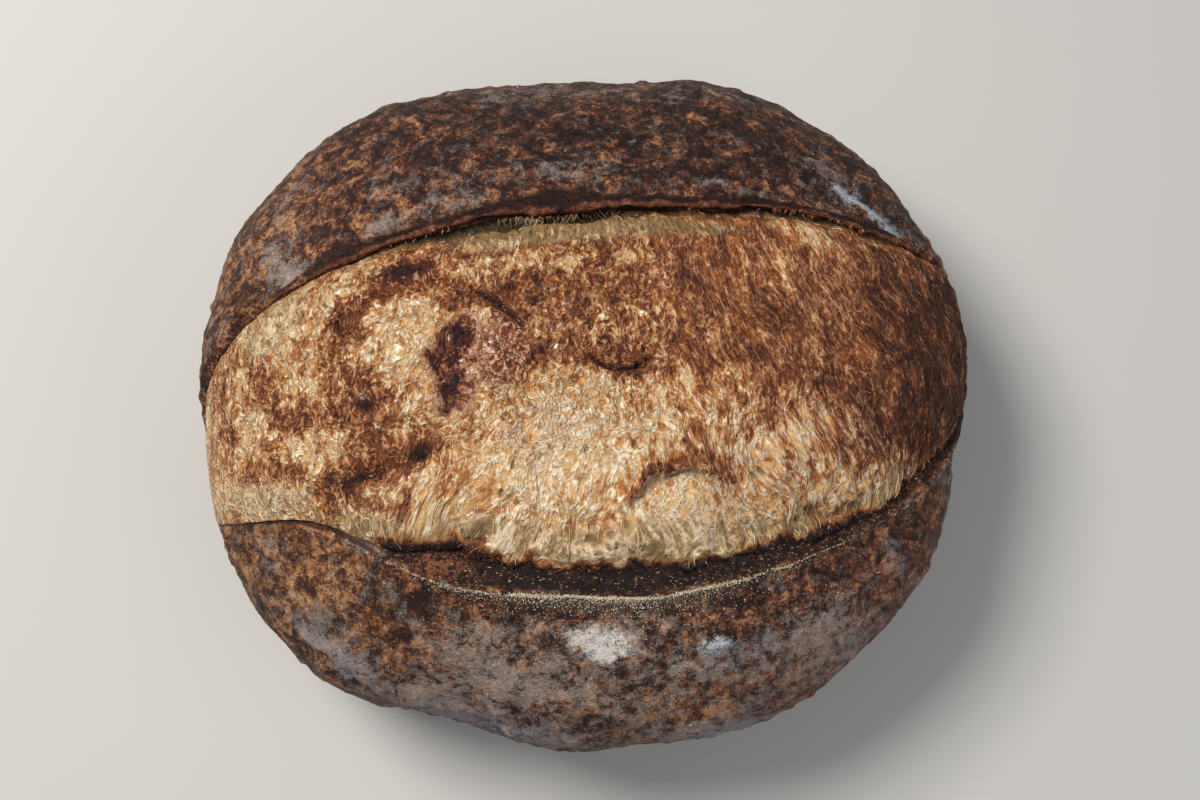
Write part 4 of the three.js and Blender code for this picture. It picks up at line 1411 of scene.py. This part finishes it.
# small things share one finish each: colours by the "shade" mark with a fine grain over them
def grainMaterial(name, look):
    roughness = look["roughness"]
    material, shader = newMaterial(name, roughness)
    fine = noise(objectPlace(), look["grain"], 2.0, 0.6)
    value = add(mark("shade"), times(calc("SUBTRACT", fine, 0.5), 0.35))
    feed(shader, {"Base Color": addRamp(value, look["tones"]),
                  "Roughness": add(roughness - 0.1, times(fine, 0.2))})
    setBump(shader, fine, 0.15)
    return material


# a piece of many small shapes, with one shade for each or for each of its steps
def addFine(name, slot, finish, look, shape, shade):
    points, faces, uv = shape
    shade = np.repeat(np.ravel(shade), len(points) // np.size(shade))
    addPiece(name, slot, points, faces, uv, grainMaterial(finish, look), {"shade": shade})


def steps(look):  # places from 0 to 1 along a tube
    return np.linspace(0, 1, look["steps"])[None]


# places along the score: a share of them crowds round one place, the others lie anywhere between two
def crowdedPlaces(random, look):
    crowded = random.uniform(0, 1, look["count"]) < look["crowdShare"]
    crowd = random.normal(*look["crowd"], look["count"])
    return np.where(crowded, crowd, random.uniform(*look["between"], look["count"]))


def taperedRadii(random, look, t):  # radii of tubes that get thinner towards their tips
    return random.uniform(*look["radius"], look["count"])[:, None] * (1 - look["taper"] * t)


threads = {
    "count": 3400,
    "steps": 8,
    "length": (1.0, 5.5),
    "radius": (0.05, 0.13),
    "lift": (0.0, 0.3),
    "tones": [(0.0, (112, 62, 36)), (0.4, (176, 120, 74)), (0.75, (216, 178, 130)), (1.0, (234, 212, 176))],
    "grain": 0.8,
    "roughness": 0.4,
}


# gluten threads lying over the crumb: each walks over the grid, along the fibres or curled, and lifts off in
# its own arch
def addThreads():
    random = np.random.default_rng(11)
    count = threads["count"]
    row = random.uniform(0.04, 0.96, count) * crumb["rows"]
    column = random.uniform(2, crumb["topColumns"] - 12, count)
    start = sampleGrid(crumbTop, row, column)
    pale, curl, brown = [sampleGrid(crumbMarksMade[key], row, column) for key in ("pale", "curl", "brown")]
    keep = random.uniform(0, 1, count) < 0.2 + 0.06 * pale + 0.2 * smooth(0, 40, start[:, 0])
    row, column, start, pale, curl, brown = [a[keep] for a in (row, column, start, pale, curl, brown)]
    count = len(row)
    hanging = np.clip(pale * 1.3, 0, 1) * smooth(-26, -34, start[:, 1])
    curl = curl * (1 - 0.8 * hanging)
    longer = 0.45 + 0.3 * pale + 0.3 * (1 - curl) + 1.1 * hanging
    length = random.uniform(*threads["length"], count) * longer
    lean = mix(-0.3, 0.4, smooth(-40, 60, start[:, 0])) * (1 - curl)
    turn = lean + random.normal(0, 0.3, count) + curl * random.uniform(-1.6, 1.6, count)
    bend = random.normal(0, 0.6, count) * (1 - 0.4 * hanging) + curl * random.normal(0, 2.2, count)
    t = steps(threads) - 0.5
    angle = turn[:, None] + bend[:, None] * t
    stepX = np.cumsum(-np.sin(angle), 1) / threads["steps"] * length[:, None]
    stepY = np.cumsum(np.cos(angle), 1) / threads["steps"] * length[:, None]
    rowSize = np.linalg.norm(sampleGrid(crumbTop, row + 1, column) - start, axis=-1)
    columnSize = np.linalg.norm(sampleGrid(crumbTop, row, column + 1) - start, axis=-1)
    rows = row[:, None] + stepX / np.maximum(rowSize, 0.2)[:, None]
    columns = column[:, None] + stepY / np.maximum(columnSize, 0.3)[:, None]
    columns = np.clip(columns, 0, crumb["topColumns"] - 3)
    height = random.uniform(*threads["lift"], count)[:, None] * np.sin((t + 0.5) * math.pi)
    lines = sampleGrid(crumbTop, rows, columns) + sampleGrid(crumbOut, rows, columns) * height[..., None]
    thinner = np.sin(np.clip(t + 0.5, 0, 1) * math.pi) ** 0.4
    radii = random.uniform(*threads["radius"], count)[:, None] * thinner
    shade = np.clip(0.85 - 0.75 * brown + 0.3 * pale + random.normal(0, 0.22, count), 0, 1)
    addFine("glutenThreads", "crumb", "threadFinish", threads, tubes(lines, radii, 4), shade)


def lipEdgeColumn(row):  # column of each row where the back lip reaches furthest to the front
    first, last = lipColumns
    near = crustTop[np.clip(np.round(row).astype(int), 0, len(crustTop) - 1), first:last, 1]
    return first + np.argmin(near, axis=1)


fibres = {
    "count": 190,
    "steps": 8,
    "length": (1.2, 4.2),
    "radius": (0.06, 0.12),
    "taper": 0.6,
    # share that crowds round a place along the score, that place and its spread, and the reach of the rest
    "crowdShare": 0.6,
    "crowd": (-17, 13),
    "between": (-40, 75),
    "tones": [(0.0, (132, 84, 50)), (0.5, (186, 152, 110)), (1.0, (224, 206, 176))],
    "grain": 0.8,
    "roughness": 0.45,
}


# pale fibres torn from the crumb: they hang from the underside of the back lip, towards the front
def addHangingFibres():
    random = np.random.default_rng(12)
    count = fibres["count"]
    x = crowdedPlaces(random, fibres)
    row = np.interp(x, lipX[::-1], lipRow[::-1])
    column = lipEdgeColumn(row)
    start = sampleGrid(crustTop, row, column - random.uniform(0.5, 3.0, count))
    length = random.uniform(*fibres["length"], count) * (0.5 + 0.6 * bell(x + 15, 24))
    t = steps(fibres)
    side = random.normal(0, 0.3, count)[:, None] * t
    side = side + 0.25 * np.sin(t * 5 + random.uniform(0, 6, count)[:, None]) * t
    fall = random.uniform(0.5, 1.1, count)[:, None]
    lines = start[:, None] + length[:, None, None] * joined(side, -t * 0.75, 0.25 * t - fall * t * t * 0.8)
    shape = tubes(lines, taperedRadii(random, fibres, t), 4)
    addFine("lipFibres", "crumb", "fibreFinish", fibres, shape, random.uniform(0.3, 1, count))


teeth = {
    "count": 170,
    "steps": 6,
    "length": (0.5, 3.2),
    "radius": (0.2, 0.7),
    "taper": 0.75,
    "tones": [(0.0, (64, 30, 20)), (0.5, (124, 66, 38)), (1.0, (178, 116, 70))],
    "grain": 0.5,
    "roughness": 0.5,
}


# jagged teeth of torn crust along the lower edge of the back lip
def addLipTeeth():
    random = np.random.default_rng(13)
    count = teeth["count"]
    x = random.choice(random.uniform(-44, 84, 46), count) + random.normal(0, 0.9, count)
    row = np.interp(x, lipX[::-1], lipRow[::-1])
    column = lipEdgeColumn(row)
    start = sampleGrid(crustTop, row, column + 2)
    foot = sampleGrid(crustTop, row, column - random.uniform(0, 1.5, count))
    length = random.uniform(*teeth["length"], count) * (0.4 + 0.6 * bell(x - 14, 34))
    t = steps(teeth)
    side = random.normal(0, 0.6, count)[:, None] * t
    down = foot - start
    down /= np.maximum(np.linalg.norm(down, axis=-1, keepdims=True), 1e-9)
    ahead = 0.3 * down[:, None] * t[..., None] + joined(side, -0.75 * t, -0.4 * t * t)
    lines = foot[:, None] - down[:, None] * 0.6 + length[:, None, None] * ahead
    shape = tubes(lines, taperedRadii(random, teeth, t), 5)
    addFine("lipTeeth", "char", "toothFinish", teeth, shape, random.uniform(0, 1, count))


hairs = {
    "count": 260,
    "steps": 6,
    "length": (0.5, 2.4),
    "radius": (0.06, 0.16),
    "taper": 0.6,
    "reach": 5.0,
    "crowdShare": 0.2,
    "crowd": (-28, 4),
    "between": (-46, 98),
    "tones": [(0.0, (34, 22, 19)), (0.4, (88, 48, 28)), (0.75, (146, 94, 56)), (1.0, (206, 172, 126))],
    "grain": 0.8,
    "roughness": 0.5,
}


# singed hairs that hang from the front edge of the crumb over the charred band, densest at the hairy mound
def addEdgeHairs():
    random = np.random.default_rng(14)
    count = hairs["count"]
    row = np.interp(crowdedPlaces(random, hairs), crumbTop[:, 4, 0], np.arange(crumb["rows"]))
    wanted = random.uniform(0.2, hairs["reach"], count)
    column = columnAt(fromFront, row, wanted)
    start = sampleGrid(crumbTop, row, column)
    outwards = sampleGrid(crumbOut, row, column)
    length = random.uniform(*hairs["length"], count)
    t = steps(hairs)
    side = random.normal(0, 1.0, count)[:, None] * t
    ahead = joined(side, -0.7 * t, -0.55 * t * t)
    lift = outwards[:, None] * (np.sin(t * math.pi) * random.uniform(0.1, 0.5, count)[:, None])[..., None]
    lines = start[:, None] + length[:, None, None] * (ahead + 0.5 * lift)
    radii = taperedRadii(random, hairs, t)
    base = np.clip(wanted / hairs["reach"] + random.normal(0, 0.15, count), 0, 1)[:, None]
    shade = np.clip(base - 0.35 * t, 0, 1)
    addFine("edgeHairs", "crumb", "hairFinish", hairs, tubes(lines, radii, 4), shade)


# uneven lumps lying on the crust at places of its grid, each raised by a share of its size
def addLumps(name, slot, finish, look, random, row, column, scale=1.0):
    count = len(row)
    centres = sampleGrid(crustTop, row, column)
    normal = sampleGrid(crustOut, row, column)
    size = mix(*look["size"], random.uniform(0, 1, count) ** look["smallness"]) * scale
    halves = size[:, None] * random.uniform(*look["stretch"], (count, 3))
    axes = framesOn(normal, random.normal(0, 1, (count, 3)))
    raised = centres + normal * size[:, None] * look["raised"]
    shape = lumps(raised, halves, axes, look["uneven"], random)
    addFine(name, slot, finish, look, shape, random.uniform(0, 1, count) ** look["darkness"])


def ledgeWide(row):  # width of the charred ledge at each row
    return crust["ledgeWidth"] * ledgeStrength(sampleGrid(crustAlong, row, 0 * row))


charCrumbs = {
    "count": 900,
    "size": (0.16, 0.75),
    "smallness": 2.2,
    "stretch": (0.7, 1.25),
    "raised": 0.4,
    "uneven": 0.28,
    "darkness": 1.5,
    "tones": [(0.0, (26, 18, 17)), (0.5, (58, 34, 25)), (0.85, (112, 66, 38)), (1.0, (158, 104, 62))],
    "grain": 0.4,
    "roughness": 0.6,
}


# burnt crumbs caught between the crumb and the charred band, and strewn over the band
def addCharCrumbs():
    random = np.random.default_rng(15)
    count = charCrumbs["count"]
    x = random.uniform(-46, 100, count)
    row = np.interp(x, ledgeX, ledgeRow)
    onEdge = random.uniform(0, 1, count) < 0.65
    wide = ledgeWide(row)
    inner = -wide + random.normal(0.2, 0.5, count)
    wanted = np.where(onEdge, inner, random.uniform(-1, -0.15, count) * wide)
    column = columnAt(crustOutward, row, wanted)
    scale = np.where(onEdge, 1.0, 0.6)
    addLumps("charCrumbs", "char", "charFinish", charCrumbs, random, row, column, scale)


husks = {
    "count": 380,
    "size": (0.1, 0.32),
    "tones": [(0.0, (112, 78, 52)), (0.5, (158, 124, 86)), (1.0, (196, 172, 134))],
    "grain": 0.4,
    "roughness": 0.7,
}


# pale specks of bran and flour on the charred band, drawn out along it
def addHusks():
    random = np.random.default_rng(16)
    count = husks["count"]
    x = random.uniform(-40, 100, count)
    row = np.interp(x, ledgeX, ledgeRow)
    column = columnAt(crustOutward, row, -ledgeWide(row) * random.beta(1.2, 1.6, count) * 0.9)
    centres = sampleGrid(crustTop, row, column)
    normal = sampleGrid(crustOut, row, column)
    ahead = sampleGrid(crustTop, row + 1, column) - centres
    size = mix(*husks["size"], random.uniform(0, 1, count) ** 2)
    halves = size[:, None] * joined(random.uniform(1.0, 2.2, count), 0.6, 0.3)
    axes = framesOn(normal, ahead + random.normal(0, 0.1, (count, 3)))
    shape = lumps(centres, halves, axes, 0.15, random)
    addFine("branSpecks", "flour", "branFinish", husks, shape, random.uniform(0, 1, count))


flourGrains = {
    "count": 6000,
    "size": (0.06, 0.2),
    "smallness": 2,
    "stretch": (0.7, 1.3),
    "raised": 0.5,
    "uneven": 0.15,
    "darkness": 1,
    # shares of all grains that lie on the flour line, and on the line or in the hollow outside it
    "onLine": 0.35,
    "nearLine": 0.7,
    "tones": [(0.0, (164, 142, 116)), (0.5, (214, 198, 170)), (1.0, (240, 230, 212))],
    "grain": 0.3,
    "roughness": 0.8,
}


# loose grains of flour: thick along the flour line and in the hollow outside it, thin over floured places
def addFlourGrains():
    random = np.random.default_rng(17)
    count = flourGrains["count"]
    kind = random.uniform(0, 1, count)
    onLine = kind < flourGrains["onLine"]
    x = np.where(onLine, random.normal(12, 26, count), random.normal(8, 24, count))
    row = np.interp(x, ledgeX, ledgeRow)
    out = np.where(onLine, random.normal(0.3, 0.25, count), 0.6 + random.exponential(3.0, count))
    spread = kind > flourGrains["nearLine"]
    row = np.where(spread, random.uniform(0, len(crustTop) - 1, count), row)
    out = np.where(spread, random.uniform(4, 70, count), out)
    column = columnAt(crustOutward, row, out)
    floured = sampleGrid(crustMarksMade["flour"], row, column)
    keep = ~spread | (random.uniform(0, 1, count) < floured * 1.4)
    addLumps("flourGrains", "flour", "flourFinish", flourGrains, random, row[keep], column[keep])


crumbOut = crumbNormals[:, : crumb["topColumns"]]
crumbMarksMade = {key: values[:, : crumb["topColumns"]] for key, values in marksOfCrumb.items()}
# columns of the crust between which the back lip lies, and the one that runs along the edge of the opening
lipColumns = (12, 38)
edgeColumn = 30
half = crust["rays"] // 2
lipRow = np.arange(1, half)
lipX = crustTop[1:half, edgeColumn, 0]
ledgeRow = np.arange(half + 1, crust["rays"])
ledgeX = crustTop[half + 1 :, edgeColumn, 0]

addThreads()
addHangingFibres()
addLipTeeth()
addEdgeHairs()
addCharCrumbs()
addHusks()
addFlourGrains()


# floor, lights and camera

studio = {
    "floorSize": 6,
    "floorHeight": -0.0005,
    "floorTone": (196, 193, 188),
    # area lights: place and size in metres, watts and colour
    "lights": {
        "key": ((-0.42, 0.26, 0.85), 0.4, 9.6, (1.0, 0.97, 0.93)),
        "fill": ((0.7, -0.4, 0.6), 0.8, 2.5, (0.92, 0.96, 1.0)),
    },
    "skyColour": (0.88, 0.93, 1.0, 1),
    "skyStrength": 0.28,
    # camera: degrees over the floor, distance to the target in metres, lens in mm and shift of its picture
    "elevation": 81.0,
    "distance": 0.5035,
    "lens": 50.0,
    "target": (0.0, 0.0, 0.05),
    "shift": (0.0134, 0.0067),
}
target = Vector(studio["target"])


def addFloor():
    bpy.ops.mesh.primitive_plane_add(size=studio["floorSize"], location=(0, 0, studio["floorHeight"]))
    floor = bpy.context.object
    floor.name = "floor"
    material, shader = newMaterial("floorFinish", 0.8)
    shader.inputs["Base Color"].default_value = tone(*studio["floorTone"])
    floor.data.materials.append(material)


def addLight(name, place, size, power, colour):
    data = bpy.data.lights.new(name, "AREA")
    data.shape = "DISK"
    data.size = size
    data.energy = power
    data.color = colour
    lamp = bpy.data.objects.new(name, data)
    lamp.location = place
    lamp.rotation_euler = (target - Vector(place)).to_track_quat("-Z", "Y").to_euler()
    bpy.context.scene.collection.objects.link(lamp)


def addCamera():
    data = bpy.data.cameras.new("camera")
    data.lens = studio["lens"]
    data.sensor_width = 36
    data.shift_x, data.shift_y = studio["shift"]
    camera = bpy.data.objects.new("camera", data)
    tilt = math.radians(studio["elevation"])
    camera.location = target + Vector((0, -math.cos(tilt), math.sin(tilt))) * studio["distance"]
    camera.rotation_euler = (target - camera.location).to_track_quat("-Z", "Y").to_euler()
    bpy.context.scene.collection.objects.link(camera)
    bpy.context.scene.camera = camera


addFloor()
for name, values in studio["lights"].items():
    addLight(name, *values)
world = bpy.data.worlds.new("studio")
world.use_nodes = True
sky = world.node_tree.nodes["Background"]
sky.inputs["Color"].default_value = studio["skyColour"]
sky.inputs["Strength"].default_value = studio["skyStrength"]
bpy.context.scene.world = world
bpy.context.scene.view_settings.view_transform = "Standard"
addCamera()
